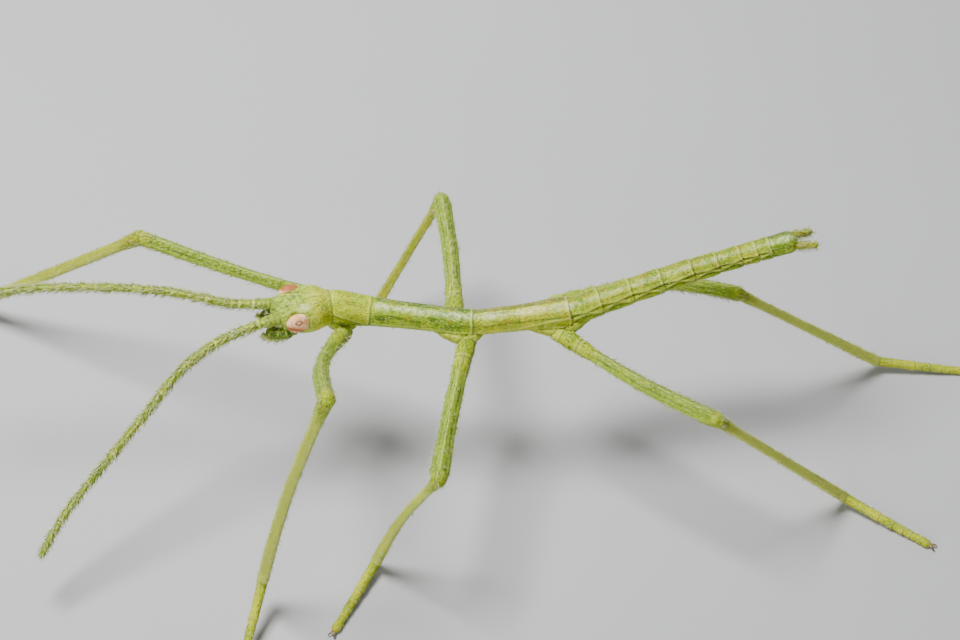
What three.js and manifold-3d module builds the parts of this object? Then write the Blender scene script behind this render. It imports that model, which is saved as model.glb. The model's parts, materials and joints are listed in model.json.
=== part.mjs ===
// A young giant stick insect at life size, walking with its head towards -X.
// Millimetres, +Z up. +Y is the insect's right side, and its feet stand on z = 0.
// A direction is a bearing, in degrees from +X towards +Y, and a rise above level.

import * as THREE from 'three';
import { mergeVertices } from 'three/addons/utils/BufferGeometryUtils.js';
import Module from 'manifold-3d';

const JOINT_GAP = 0.06;
const CUT_SIZE = 60;
const SAME_POINT = 1e-5;

// The waist is where the second and third rings of the thorax meet.
const WAIST = [3.741, 4.192, 12.77];

// Each stretch of the body, with the direction that it takes towards the tail.
const HEAD = { bearing: 16, rise: -8 };
const PROTHORAX = { length: 2.84, bearing: -5.3, rise: -3.8 };
const MESOTHORAX = { length: 7.33, bearing: -5.3, rise: -3.8 };
const METATHORAX = { length: 6.97, bearing: 5.1, rise: 3.7 };
const ABDOMEN = { bearing: 14.5, rise: 10.3, arch: 0.3 };
const ABDOMEN_SEGMENTS = [2.3, 2.3, 2.3, 2.3, 1.9, 1.7, 1.2, 1.0, 1.9];
const ABDOMEN_RADII = [1.04, 1.0, 0.95, 0.92, 0.88, 0.82, 0.8, 0.82, 0.84];
const FRONT_SEGMENTS = 4;
// A segment starts narrow, and its rear rim stands a little proud of the next one.
const SEGMENT = { groove: 0.05, start: 0.97, rim: 1.02, rimShare: 0.8 };
const ABDOMEN_START = [-0.4, 1.02, 1.0, 0];
const TAIL_END = { length: 0.22, share: 0.7, lift: 0.04 };

const ABDOMEN_LENGTH = ABDOMEN_SEGMENTS.reduce((sum, length) => sum + length, 0);

// Half width and half height along each stretch, with the centre's drop or lift last.
const HEAD_STATIONS = [
  [-4.45, 0.62, 0.5, 0.3],
  [-4.2, 1.0, 0.85, 0.18],
  [-3.7, 1.3, 1.18, 0.06],
  [-3.1, 1.52, 1.4, 0],
  [-2.4, 1.72, 1.58, 0.06],
  [-1.8, 1.82, 1.68, 0.14],
  [-1.2, 1.72, 1.62, 0.2],
  [-0.65, 1.48, 1.42, 0.14],
  [-0.2, 1.27, 1.24, 0],
  [0.2, 1.1, 1.08, 0],
];
const MUZZLE_STATIONS = [
  [-4.75, 0.4, 0.42, -1.0],
  [-4.5, 0.72, 0.72, -1.02],
  [-3.8, 0.94, 0.86, -0.92],
  [-3.0, 1.0, 0.9, -0.8],
  [-2.3, 0.7, 0.6, -0.6],
];
const PROTHORAX_STATIONS = [
  [-0.4, 1.16, 1.12, 0.08],
  [0.2, 1.26, 1.22, 0.1],
  [0.8, 1.24, 1.2, 0.1],
  [1.9, 1.13, 1.1, 0.08],
  [2.6, 1.1, 1.08, 0],
  [2.84, 1.04, 1.02, 0],
];
const MESOTHORAX_STATIONS = [
  [0, 1.0, 0.98, 0],
  [0.4, 1.07, 1.06, 0],
  [2.3, 1.0, 1.0, 0],
  [4.8, 0.97, 0.97, 0],
  [6.9, 0.98, 0.98, 0],
  [7.6, 0.95, 0.95, 0],
];
const METATHORAX_STATIONS = [
  [-0.3, 0.9, 0.9, 0],
  [0.5, 0.93, 0.93, 0],
  [3.4, 0.98, 0.98, 0],
  [5.0, 1.06, 1.05, 0.04],
  [6.1, 1.16, 1.15, 0.06],
  [7.3, 1.12, 1.1, 0],
];

const EYE = { along: -2.8, out: 1.36, up: 0.42, radii: [0.87, 0.5, 0.86] };
const PALP_PATH = [[-3.0, 0.8, -1.1], [-3.7, 1.0, -1.5], [-4.6, 0.98, -1.5], [-5.3, 0.85, -0.9]];
const PALP_RADIUS = 0.26;

// A feeler's direction at equal steps from its base to its tip.
const FEELER = { length: 24.85, base: [-3.75, 0.72, 0.46], baseRadius: 0.38, tipRadius: 0.25 };
const FEELER_STEPS = 30;
const FEELER_RIM = { width: 0.03, swell: 1.06 };
const FEELER_JOINTS = [0.075, 0.115, 0.21, 0.31, 0.42, 0.53, 0.64, 0.75, 0.88];
const LEFT_FEELER = {
  bearings: [190, 204, 227, 224, 226, 240], rises: [-7.6, -16.8, -28, -26.4, -27.4, -32],
};
const RIGHT_FEELER = { bearings: [192, 169, 177, 180.5, 186, 191], rises: [0, 8, 2.3, -0.4, -4.3, -8] };
const CERCUS = { length: 1.65, radius: 0.3, sunk: 0.3, out: 0.42, up: 0.1, spread: 8, droop: 20 };
// Share of a cercus's length, and of its radius there.
const CERCUS_STATIONS = [[0, 1], [0.3, 1], [0.8, 0.95], [1, 0.7]];

// A leg's lengths and thickness, the same on the left and the right.
const LEGS = {
  front: { femur: 15.7, tibia: 19.8, tarsus: 7.0, hipOut: 1.35, hipDown: 1.35 },
  middle: { femur: 11.55, tibia: 11.9, tarsus: 6.2, hipOut: 1.4, hipDown: 0.95 },
  hind: { femur: 12.9, tibia: 15.4, tarsus: 7.2, hipOut: 1.5, hipDown: 0.9 },
};
// Half thickness along a femur and a tibia: [share of the length, millimetres].
const FEMUR_STATIONS = {
  front: [[0, 0.6], [0.03, 0.68], [0.07, 0.58], [0.12, 0.62], [0.22, 0.53], [0.45, 0.47], [0.6, 0.52],
    [0.75, 0.57], [0.9, 0.6], [0.96, 0.7], [1.0, 0.66]],
  middle: [[0, 0.64], [0.05, 0.72], [0.12, 0.6], [0.16, 0.63], [0.27, 0.55], [0.4, 0.59], [0.6, 0.59],
    [0.82, 0.62], [0.94, 0.72], [1.0, 0.66]],
  hind: [[0, 0.64], [0.04, 0.7], [0.11, 0.57], [0.14, 0.6], [0.2, 0.5], [0.4, 0.55], [0.6, 0.59],
    [0.75, 0.64], [0.88, 0.65], [0.95, 0.7], [1.0, 0.63]],
};
const TIBIA_STATIONS = {
  front: [[0, 0.58], [0.03, 0.53], [0.1, 0.46], [0.5, 0.46], [0.9, 0.49], [1.0, 0.46]],
  middle: [[0, 0.54], [0.04, 0.47], [0.12, 0.38], [0.45, 0.36], [0.7, 0.39], [0.9, 0.45], [1.0, 0.43]],
  hind: [[0, 0.53], [0.03, 0.46], [0.15, 0.4], [0.4, 0.39], [0.7, 0.43], [0.92, 0.47], [1.0, 0.44]],
};
// Half width and half height along a foot: four short joints, then the long last one and its pad.
const TARSUS_STATIONS = [[0, 0.4, 0.38], [0.08, 0.38, 0.36], [0.4, 0.35, 0.33], [0.44, 0.38, 0.35],
  [0.48, 0.33, 0.32], [0.6, 0.36, 0.34], [0.64, 0.32, 0.31], [0.72, 0.35, 0.33], [0.76, 0.31, 0.3],
  [0.88, 0.34, 0.3], [0.95, 0.39, 0.3], [1.0, 0.3, 0.24]];
const SOLE_HEIGHT = 0.22;
const FOOT_DROOP = 1.35;

// A hip piece is an arm, which starts this share of the way out to the hip and this far in front
// of it, and a collar that runs along the leg: [place along the leg, radius], with the hip at 0.
const COXA_ARM = { share: 0.1, lead: 0.6, radii: [0.72, 0.6] };
const COXA_COLLAR = [[-0.98, 0.36], [-0.8, 0.6], [-0.5, 0.67], [-0.25, 0.68], [0.1, 0.6]];

// Where each leg points: bearing and rise of its femur and tibia, and bearing of its foot.
// swing moves a hip forward, and a bow is how far a length bends, to its right side and up.
const STANCE = [
  {
    name: 'left_front', pair: 'front', side: -1, swing: 0.15, femur: [-91.3, 38.4],
    tibia: [-153.8, -72.5], foot: -105, femurBow: [-0.9, 0], tibiaBow: [-0.1, 0.38],
  },
  {
    name: 'right_front', pair: 'front', side: 1, swing: 0, femur: [164.1, 8.3],
    tibia: [165.2, -41.6], foot: 172, femurBow: [0, -0.38], tibiaBow: [0, 0],
  },
  {
    name: 'left_middle', pair: 'middle', side: -1, swing: -0.3, femur: [-99.5, -0.8],
    tibia: [-179.9, -66.9], foot: -118, femurBow: [-0.12, 0], tibiaBow: [-0.2, 0.34],
  },
  {
    name: 'right_middle', pair: 'middle', side: 1, swing: 0.6, femur: [95.4, -5.9],
    tibia: [211.7, -57.2], foot: 180, femurBow: [-0.23, 0], tibiaBow: [0, 0],
  },
  {
    name: 'left_hind', pair: 'hind', side: -1, swing: 0, femur: [-34.6, 0.4],
    tibia: [6, -48.8], foot: -32, femurBow: [-0.28, -0.12], tibiaBow: [0, 0],
  },
  {
    name: 'right_hind', pair: 'hind', side: 1, swing: 0, femur: [7.2, -4.9],
    tibia: [6.3, -41.9], foot: -4, femurBow: [0.6, 0.95], tibiaBow: [0, 0],
  },
];

// A belly is flatter than a back, and four long ridges give a leg its square section.
const BELLY_FLATNESS = 0.06;
const RIDGE_DEPTH = 0.1;
const END_BULGE = 0.8;

const BODY_SIDES = 18;
const LIMB_SIDES = 8;
const COXA_SIDES = 8;

const wasm = await Module();
wasm.setup();

function look(colour, roughness) {
  return new THREE.MeshStandardMaterial({ color: colour, roughness, metalness: 0 });
}

const BODY_GREEN = look(0x9dbb3a, 0.45);
const HEAD_GREEN = look(0x93c02c, 0.4);
const LEG_GREEN = look(0x8fb238, 0.5);
const SHIN_YELLOW = look(0xa9b94a, 0.5);
const FEELER_GREEN = look(0x8ea953, 0.55);
const EYE_PINK = look(0xdb9a7c, 0.25);
const CERCUS_BROWN = look(0xa89a3c, 0.6);

function direction(bearing, rise) {
  const turn = THREE.MathUtils.degToRad(bearing);
  const lift = THREE.MathUtils.degToRad(rise);
  const level = Math.cos(lift);
  return new THREE.Vector3(level * Math.cos(turn), level * Math.sin(turn), Math.sin(lift));
}

// A place whose +X takes the bearing and rise, with +Z as near upright as that leaves it.
function placeAt(point, bearing, rise) {
  const place = new THREE.Group();
  place.position.copy(point);
  place.rotation.set(0, THREE.MathUtils.degToRad(-rise), THREE.MathUtils.degToRad(bearing), 'ZYX');
  place.updateMatrixWorld(true);
  return place;
}

const round = () => 1;

// One ring of points about a centre, anticlockwise about across x up. Its first point lies
// on the across line, or with a start of a half it stands on a flat side.
function ring(centre, across, up, width, height, sides, shape = round, start = 0) {
  return Array.from({ length: sides }, (_, i) => {
    const angle = (2 * Math.PI * (i + start)) / sides;
    const swell = shape(angle);
    return centre.clone()
      .addScaledVector(across, width * swell * Math.cos(angle))
      .addScaledVector(up, height * swell * Math.sin(angle));
  });
}

// A closed surface over rings of equally many points, capped flat at both ends.
function loft(rings) {
  const sides = rings[0].length;
  const last = (rings.length - 1) * sides;
  const index = [];
  for (let row = 0; row < last; row += sides) {
    for (let i = 0; i < sides; i += 1) {
      const here = row + i;
      const next = row + ((i + 1) % sides);
      index.push(here, next, next + sides, here, next + sides, here + sides);
    }
  }
  for (let i = 1; i + 1 < sides; i += 1) {
    index.push(0, i + 1, i);
    index.push(last, last + i, last + i + 1);
  }
  const geometry = new THREE.BufferGeometry().setFromPoints(rings.flat());
  geometry.setIndex(index);
  geometry.computeVertexNormals();
  return geometry;
}

const ACROSS = new THREE.Vector3(0, 1, 0);
const UP = new THREE.Vector3(0, 0, 1);

const backAndBelly = (angle) => 1 - BELLY_FLATNESS * Math.max(0, -Math.sin(angle));
const ridged = (angle) => 1 - RIDGE_DEPTH * Math.sin(2 * angle) ** 2;

// A body length along +X, from stations of [along, half width, half height, lift].
function barrel(stations) {
  const rings = stations.map(([along, width, height, lift]) => (
    ring(new THREE.Vector3(along, 0, lift), ACROSS, UP, width, height, BODY_SIDES, backAndBelly)));
  return loft(rings);
}

// A leg length along +X with rounded ends, from stations of [share of the length, half thickness].
// Its middle stands off the straight line by the bow.
function limb(length, stations, [bowAcross, bowUp]) {
  const rings = stations.map(([share, radius]) => {
    const bend = Math.sin(Math.PI * share);
    const centre = new THREE.Vector3(share * length, bend * bowAcross, bend * bowUp);
    return ring(centre, ACROSS, UP, radius, radius, LIMB_SIDES, ridged);
  });
  const start = stations[0][1];
  const end = stations[stations.length - 1][1];
  const roundedEnd = ring(new THREE.Vector3(length + END_BULGE * end, 0, 0), ACROSS, UP,
    end / 2, end / 2, LIMB_SIDES);
  const roundedStart = ring(new THREE.Vector3(-END_BULGE * start, 0, 0), ACROSS, UP,
    start / 2, start / 2, LIMB_SIDES);
  return loft([roundedStart, ...rings, roundedEnd]);
}

// A tube through points, its rings square to the path, with a radius at each point.
function tube(points, radii, sides) {
  const rings = points.map((point, i) => {
    const before = points[Math.max(i - 1, 0)];
    const after = points[Math.min(i + 1, points.length - 1)];
    const along = after.clone().sub(before).normalize();
    const across = UP.clone().cross(along).normalize();
    const up = along.clone().cross(across);
    return ring(point, across, up, radii[i], radii[i], sides);
  });
  return loft(rings);
}

function solid(geometry) {
  const bare = geometry.clone();
  bare.deleteAttribute('normal');
  bare.deleteAttribute('uv');
  const merged = mergeVertices(bare, SAME_POINT);
  return new wasm.Manifold(new wasm.Mesh({
    numProp: 3,
    vertProperties: Float32Array.from(merged.attributes.position.array),
    triVerts: Uint32Array.from(merged.index.array),
  }));
}

function surface(body) {
  const mesh = body.getMesh();
  const geometry = new THREE.BufferGeometry();
  geometry.setAttribute('position', new THREE.BufferAttribute(mesh.vertProperties, 3));
  geometry.setIndex(new THREE.BufferAttribute(mesh.triVerts, 1));
  geometry.computeVertexNormals();
  return geometry;
}

// A block that fills the space past a joint's plane, in a place's own frame.
function blockPast(place, joint, along) {
  const block = new THREE.BoxGeometry(CUT_SIZE, CUT_SIZE, CUT_SIZE);
  const inner = CUT_SIZE / 2 - JOINT_GAP / 2;
  const holder = new THREE.Object3D();
  holder.position.copy(joint).addScaledVector(along, inner);
  holder.quaternion.setFromUnitVectors(new THREE.Vector3(1, 0, 0), along);
  holder.updateMatrixWorld(true);
  block.applyMatrix4(holder.matrixWorld);
  block.applyMatrix4(place.matrixWorld.clone().invert());
  return solid(block);
}

// The mitre plane of two lengths, given the directions of both.
function mitre(first, second) {
  return first.clone().add(second).normalize();
}

const insect = new THREE.Group();

function put(place, name, geometry, material) {
  const mesh = new THREE.Mesh(geometry, material);
  mesh.name = name;
  place.add(mesh);
  insect.add(place);
}

// Places along the body.
const waist = new THREE.Vector3(...WAIST);
const foreWay = direction(MESOTHORAX.bearing, MESOTHORAX.rise);
const hindWay = direction(METATHORAX.bearing, METATHORAX.rise);
const abdomenWay = direction(ABDOMEN.bearing, ABDOMEN.rise);
const headWay = direction(HEAD.bearing, HEAD.rise);
const collar = waist.clone().addScaledVector(foreWay, -MESOTHORAX.length);
const neck = collar.clone().addScaledVector(foreWay, -PROTHORAX.length);
const rump = waist.clone().addScaledVector(hindWay, METATHORAX.length);

const headPlace = placeAt(neck, HEAD.bearing, HEAD.rise);
const prothoraxPlace = placeAt(neck, PROTHORAX.bearing, PROTHORAX.rise);
const mesothoraxPlace = placeAt(collar, MESOTHORAX.bearing, MESOTHORAX.rise);
const metathoraxPlace = placeAt(waist, METATHORAX.bearing, METATHORAX.rise);
const abdomenPlace = placeAt(rump, ABDOMEN.bearing, ABDOMEN.rise);

// The hips sit low on the sides of the three rings of the thorax.
const HIP_LINES = {
  front: { place: prothoraxPlace, along: waist.clone().addScaledVector(foreWay, -9.2) },
  middle: { place: mesothoraxPlace, along: waist.clone().addScaledVector(foreWay, -0.75) },
  hind: { place: metathoraxPlace, along: waist.clone().addScaledVector(hindWay, 6.55) },
};

function hipOf({ pair, side, swing }) {
  const { hipOut, hipDown } = LEGS[pair];
  return HIP_LINES[pair].along.clone().add(new THREE.Vector3(-swing, side * hipOut, -hipDown));
}

// The hip piece that a thorax ring carries, ending square to the leg.
function coxa(leg) {
  const { place, along } = HIP_LINES[leg.pair];
  const way = direction(...leg.femur);
  const hip = hipOf(leg);
  const points = COXA_COLLAR.map(([distance]) => hip.clone().addScaledVector(way, distance));
  const collar = tube(points, COXA_COLLAR.map(([, radius]) => radius), COXA_SIDES);
  const middle = points[Math.floor(points.length / 2)];
  const root = along.clone().lerp(hip, COXA_ARM.share).add(new THREE.Vector3(-COXA_ARM.lead, 0, 0));
  const arm = tube([root, middle], COXA_ARM.radii, COXA_SIDES);
  const inward = place.matrixWorld.clone().invert();
  const [collarSolid, armSolid] = [collar, arm].map((piece) => solid(piece.applyMatrix4(inward)));
  return armSolid.add(collarSolid).subtract(blockPast(place, hip, way));
}

// A thorax ring with the hips of its pair of legs.
function thoraxRing(pair, stations) {
  const hips = STANCE.filter((leg) => leg.pair === pair).map(coxa);
  return hips.reduce((body, hip) => body.add(hip), solid(barrel(stations)));
}

function eyeball(side, grow) {
  const eye = new THREE.SphereGeometry(1, 20, 12);
  eye.scale(EYE.radii[0] + grow, EYE.radii[1] + grow, EYE.radii[2] + grow);
  eye.translate(EYE.along, side * EYE.out, EYE.up);
  return eye;
}

// The feeler's path, turning smoothly from each of its directions to the next.
function feelerPath({ bearings, rises }, start) {
  const points = [start];
  for (let i = 0; i < FEELER_STEPS; i += 1) {
    const share = ((i + 0.5) / FEELER_STEPS) * (bearings.length - 1);
    const knot = Math.min(Math.floor(share), bearings.length - 2);
    const bearing = THREE.MathUtils.lerp(bearings[knot], bearings[knot + 1], share - knot);
    const rise = THREE.MathUtils.lerp(rises[knot], rises[knot + 1], share - knot);
    points.push(points[i].clone().addScaledVector(direction(bearing, rise), FEELER.length / FEELER_STEPS));
  }
  return new THREE.CatmullRomCurve3(points);
}

// A feeler thins from its base to its tip, with a slight rim at each of its joints.
function feelerGeometry(way, side) {
  const [along, out, up] = FEELER.base;
  const start = headPlace.localToWorld(new THREE.Vector3(along, side * out, up));
  const path = feelerPath(way, start);
  const shares = [0];
  const radii = [FEELER.baseRadius];
  [...FEELER_JOINTS, 1].forEach((joint) => {
    const radius = THREE.MathUtils.lerp(FEELER.baseRadius, FEELER.tipRadius, Math.sqrt(joint));
    shares.push(Math.max(joint - FEELER_RIM.width, (shares.at(-1) + joint) / 2), joint);
    radii.push(radius, radius * FEELER_RIM.swell);
  });
  radii[radii.length - 1] = FEELER.tipRadius;
  const points = shares.map((share) => path.getPointAt(share));
  return tube(points, radii, LIMB_SIDES);
}

// The abdomen's segments, each a little wider at its rear rim.
function segments(first, count) {
  const stations = [];
  let along = ABDOMEN_SEGMENTS.slice(0, first).reduce((sum, length) => sum + length, 0);
  for (let i = first; i < first + count; i += 1) {
    const length = ABDOMEN_SEGMENTS[i];
    const radius = ABDOMEN_RADII[i];
    const next = ABDOMEN_RADII[Math.min(i + 1, ABDOMEN_RADII.length - 1)];
    const narrow = SEGMENT.start * radius;
    const middle = (radius + next) / 2;
    const rim = SEGMENT.rim * middle;
    const places = [SEGMENT.groove, SEGMENT.rimShare * length, length - SEGMENT.groove];
    [narrow, middle, rim].forEach((size, k) => {
      const place = along + places[k];
      stations.push([place, size, size, ABDOMEN.arch * Math.sin((Math.PI * place) / ABDOMEN_LENGTH)]);
    });
    along += length;
  }
  return stations;
}

function buildHead() {
  let head = solid(barrel(HEAD_STATIONS)).add(solid(barrel(MUZZLE_STATIONS)));
  [-1, 1].forEach((side) => {
    const path = PALP_PATH.map(([along, out, up]) => new THREE.Vector3(along, side * out, up));
    const radii = path.map(() => PALP_RADIUS);
    head = head.add(solid(tube(path, radii, LIMB_SIDES)));
    head = head.subtract(solid(eyeball(side, JOINT_GAP)));
  });
  head = head.subtract(blockPast(headPlace, neck, mitre(headWay, foreWay)));
  put(headPlace, 'head', surface(head), HEAD_GREEN);
  put(headPlace, 'eye_left', eyeball(-1, 0), EYE_PINK);
  put(headPlace, 'eye_right', eyeball(1, 0), EYE_PINK);
  return head;
}

function buildFeeler(name, way, side, head) {
  const geometry = feelerGeometry(way, side);
  geometry.applyMatrix4(headPlace.matrixWorld.clone().invert());
  put(headPlace, name, surface(solid(geometry).subtract(head)), FEELER_GREEN);
}

function buildThorax() {
  const neckPlane = mitre(headWay, foreWay);
  const waistPlane = mitre(foreWay, hindWay);
  const rumpPlane = mitre(hindWay, abdomenWay);
  const prothorax = thoraxRing('front', PROTHORAX_STATIONS)
    .subtract(blockPast(prothoraxPlace, neck, neckPlane.clone().negate()))
    .subtract(blockPast(prothoraxPlace, collar, foreWay));
  const mesothorax = thoraxRing('middle', MESOTHORAX_STATIONS)
    .subtract(blockPast(mesothoraxPlace, collar, foreWay.clone().negate()))
    .subtract(blockPast(mesothoraxPlace, waist, waistPlane));
  const metathorax = thoraxRing('hind', METATHORAX_STATIONS)
    .subtract(blockPast(metathoraxPlace, waist, waistPlane.clone().negate()))
    .subtract(blockPast(metathoraxPlace, rump, rumpPlane));
  put(prothoraxPlace, 'prothorax', surface(prothorax), BODY_GREEN);
  put(mesothoraxPlace, 'mesothorax', surface(mesothorax), BODY_GREEN);
  put(metathoraxPlace, 'metathorax', surface(metathorax), BODY_GREEN);
}

function buildAbdomen() {
  const rearCount = ABDOMEN_SEGMENTS.length - FRONT_SEGMENTS;
  const frontStations = segments(0, FRONT_SEGMENTS);
  const rearStations = segments(FRONT_SEGMENTS, rearCount);
  const [end, width, height] = rearStations.at(-1);
  const { length, share, lift } = TAIL_END;
  frontStations.unshift(ABDOMEN_START);
  rearStations.push([end + length, share * width, share * height, lift]);
  const front = solid(barrel(frontStations))
    .subtract(blockPast(abdomenPlace, rump, mitre(hindWay, abdomenWay).negate()));
  put(abdomenPlace, 'abdomen_front', surface(front), BODY_GREEN);
  const rear = solid(barrel(rearStations));
  put(abdomenPlace, 'abdomen_rear', surface(rear), BODY_GREEN);
  return { rear, end };
}

function buildCercus(name, side, { rear, end }) {
  const way = direction(side * CERCUS.spread, -CERCUS.droop);
  const root = new THREE.Vector3(end - CERCUS.sunk, side * CERCUS.out, CERCUS.up);
  const reach = CERCUS.length + CERCUS.sunk;
  const path = CERCUS_STATIONS.map(([share]) => root.clone().addScaledVector(way, share * reach));
  const radii = CERCUS_STATIONS.map(([, share]) => share * CERCUS.radius);
  const gapped = rear.add(rear.translate([JOINT_GAP, 0, 0]));
  put(abdomenPlace, name, surface(solid(tube(path, radii, LIMB_SIDES)).subtract(gapped)), CERCUS_BROWN);
}

// A foot lies in its own level place. What would sink below the floor is flattened to a sole.
function footGeometry(length, ankleHeight) {
  const run = Math.sqrt(length ** 2 - (ankleHeight - SOLE_HEIGHT) ** 2);
  const ringAt = (share, width, height) => {
    const lift = SOLE_HEIGHT + (ankleHeight - SOLE_HEIGHT) * Math.max(0, 1 - share) ** FOOT_DROOP;
    const centre = new THREE.Vector3(share * run, 0, lift);
    return ring(centre, ACROSS, UP, width, height, LIMB_SIDES, round, 0.5);
  };
  const rings = TARSUS_STATIONS.map(([share, width, height]) => ringAt(share, width, height));
  const [, ankleWidth, ankleDepth] = TARSUS_STATIONS[0];
  const heel = ring(new THREE.Vector3(-END_BULGE * ankleWidth, 0, ankleHeight), ACROSS, UP,
    ankleWidth / 2, ankleDepth / 2, LIMB_SIDES, round, 0.5);
  rings.unshift(heel);
  rings.flat().forEach((point) => point.setZ(Math.max(point.z, 0)));
  return loft(rings);
}

function buildLeg(leg) {
  const { femur, tibia, tarsus } = LEGS[leg.pair];
  const femurWay = direction(...leg.femur);
  const tibiaWay = direction(...leg.tibia);
  const hip = hipOf(leg);
  const knee = hip.clone().addScaledVector(femurWay, femur);
  const ankle = knee.clone().addScaledVector(tibiaWay, tibia);
  const footRise = THREE.MathUtils.radToDeg(Math.asin((SOLE_HEIGHT - ankle.z) / tarsus));
  const footWay = direction(leg.foot, footRise);
  const femurPlace = placeAt(hip, ...leg.femur);
  const tibiaPlace = placeAt(knee, ...leg.tibia);
  const footPlace = placeAt(new THREE.Vector3(ankle.x, ankle.y, 0), leg.foot, 0);
  const kneePlane = mitre(femurWay, tibiaWay);
  const anklePlane = mitre(tibiaWay, footWay);
  const thigh = solid(limb(femur, FEMUR_STATIONS[leg.pair], leg.femurBow))
    .subtract(blockPast(femurPlace, hip, femurWay.clone().negate()))
    .subtract(blockPast(femurPlace, knee, kneePlane));
  const shin = solid(limb(tibia, TIBIA_STATIONS[leg.pair], leg.tibiaBow))
    .subtract(blockPast(tibiaPlace, knee, kneePlane.clone().negate()))
    .subtract(blockPast(tibiaPlace, ankle, anklePlane));
  const foot = solid(footGeometry(tarsus, ankle.z))
    .subtract(blockPast(footPlace, ankle, anklePlane.clone().negate()));
  put(femurPlace, `femur_${leg.name}`, surface(thigh), LEG_GREEN);
  put(tibiaPlace, `tibia_${leg.name}`, surface(shin), SHIN_YELLOW);
  put(footPlace, `foot_${leg.name}`, surface(foot), SHIN_YELLOW);
}

const headSolid = buildHead();
buildFeeler('feeler_left', LEFT_FEELER, -1, headSolid);
buildFeeler('feeler_right', RIGHT_FEELER, 1, headSolid);
buildThorax();
const tail = buildAbdomen();
buildCercus('cercus_left', -1, tail);
buildCercus('cercus_right', 1, tail);
STANCE.forEach(buildLeg);

export default insect;
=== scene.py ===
# %% [markdown]
# # A young giant stick insect, at life size
# The insect stands on six thin legs, with its head towards -X and its right side towards +Y.
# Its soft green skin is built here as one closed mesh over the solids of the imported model.
# The lesson goes from the frame and the camera to the skin, the eyes and claws, the finish of
# each surface, and last the fine bristles. Shapes are worked out in millimetres and turned
# into metres once, when a mesh is made.

# %% Load the frame
import json
import math
import bpy
import numpy as np
from mathutils import Matrix, Vector

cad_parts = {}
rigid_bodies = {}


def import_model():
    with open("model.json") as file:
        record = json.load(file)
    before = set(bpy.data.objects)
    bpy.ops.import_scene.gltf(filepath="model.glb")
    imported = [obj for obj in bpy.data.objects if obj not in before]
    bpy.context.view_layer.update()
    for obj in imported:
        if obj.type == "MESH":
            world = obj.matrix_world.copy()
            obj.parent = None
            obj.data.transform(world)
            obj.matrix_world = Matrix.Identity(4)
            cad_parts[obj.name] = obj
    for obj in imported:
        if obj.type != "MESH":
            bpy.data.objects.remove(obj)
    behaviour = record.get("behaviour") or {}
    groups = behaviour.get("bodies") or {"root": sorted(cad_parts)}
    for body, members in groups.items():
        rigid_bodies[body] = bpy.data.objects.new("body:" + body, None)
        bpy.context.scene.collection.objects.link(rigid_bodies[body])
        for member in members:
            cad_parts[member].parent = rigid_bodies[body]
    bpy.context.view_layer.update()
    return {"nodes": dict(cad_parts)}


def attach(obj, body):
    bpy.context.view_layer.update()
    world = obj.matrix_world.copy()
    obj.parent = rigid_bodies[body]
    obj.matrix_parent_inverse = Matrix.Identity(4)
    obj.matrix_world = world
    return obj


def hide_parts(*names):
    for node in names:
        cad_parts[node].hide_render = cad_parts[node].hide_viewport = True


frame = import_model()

MM = 0.001
SIDES = ((-1, "left"), (1, "right"))
print("solids loaded:", len(frame["nodes"]))

# %% [markdown]
# ## Camera and light
# A long lens keeps the thin legs from fanning out, as a close-up of a small animal does. The
# camera looks steeply down from the insect's left side. It is placed by the point it looks
# at, its distance and its tilt, which are easier to reason about than a raw position.

# %% Camera
# Lengths in millimetres, the tilt in degrees above the floor.
CAMERA_TARGET = np.array([4.241, 4.308, 12.857])
CAMERA_DISTANCE = 190.57
CAMERA_TILT = 54.0
SENSOR_WIDTH = 36.0
FIELD_WIDTH = 68.57
# The nearest and the farthest thing the camera draws, in metres.
CLIP_RANGE = (0.001, 10.0)

tilt = math.radians(CAMERA_TILT)
camera = bpy.data.objects.new("camera", bpy.data.cameras.new("camera"))
bpy.context.scene.collection.objects.link(camera)
away = np.array([0.0, -math.cos(tilt), math.sin(tilt)])
camera.location = (CAMERA_TARGET + CAMERA_DISTANCE * away) * MM
camera.rotation_euler = (math.radians(90.0 - CAMERA_TILT), 0.0, 0.0)
camera.data.sensor_width = SENSOR_WIDTH
camera.data.lens = SENSOR_WIDTH * CAMERA_DISTANCE / FIELD_WIDTH
camera.data.clip_start, camera.data.clip_end = CLIP_RANGE
bpy.context.scene.camera = camera
print("lens:", round(camera.data.lens, 1), "mm")

# %% [markdown]
# Light comes from a wide, soft panel over the insect's head and two weaker ones, so the wet
# shine on the back is long and gentle, and the legs throw only faint shadows on the floor.
# A dim, bluish sky fills the shadows.

# %% Lights
# Name, place and size in millimetres, and power in watts.
LIGHTS = [
    ("key", (-60.0, 40.0, 190.0), 70.0, 0.84),
    ("side", (-70.0, -190.0, 80.0), 150.0, 0.3),
    ("back", (60.0, 190.0, 90.0), 120.0, 0.12),
]
LIT_PLACE = np.array([0.0, 0.0, 10.0])
SKY_COLOUR = (0.92, 0.95, 1.0, 1.0)
SKY_STRENGTH = 0.07


def add_light(name, place, size, power):
    """A square panel that faces the middle of the insect."""
    light = bpy.data.lights.new(name, "AREA")
    light.energy = power
    light.size = size * MM
    lamp = bpy.data.objects.new(name, light)
    bpy.context.scene.collection.objects.link(lamp)
    toward = Vector((LIT_PLACE - np.array(place)) * MM)
    lamp.location = Vector(np.array(place) * MM)
    lamp.rotation_euler = toward.to_track_quat("-Z", "Y").to_euler()


for light in LIGHTS:
    add_light(*light)
world = bpy.data.worlds.new("studio")
bpy.context.scene.world = world
world.use_nodes = True
sky = world.node_tree.nodes["Background"].inputs
sky["Color"].default_value = SKY_COLOUR
sky["Strength"].default_value = SKY_STRENGTH
print("lights:", [light[0] for light in LIGHTS])

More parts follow.
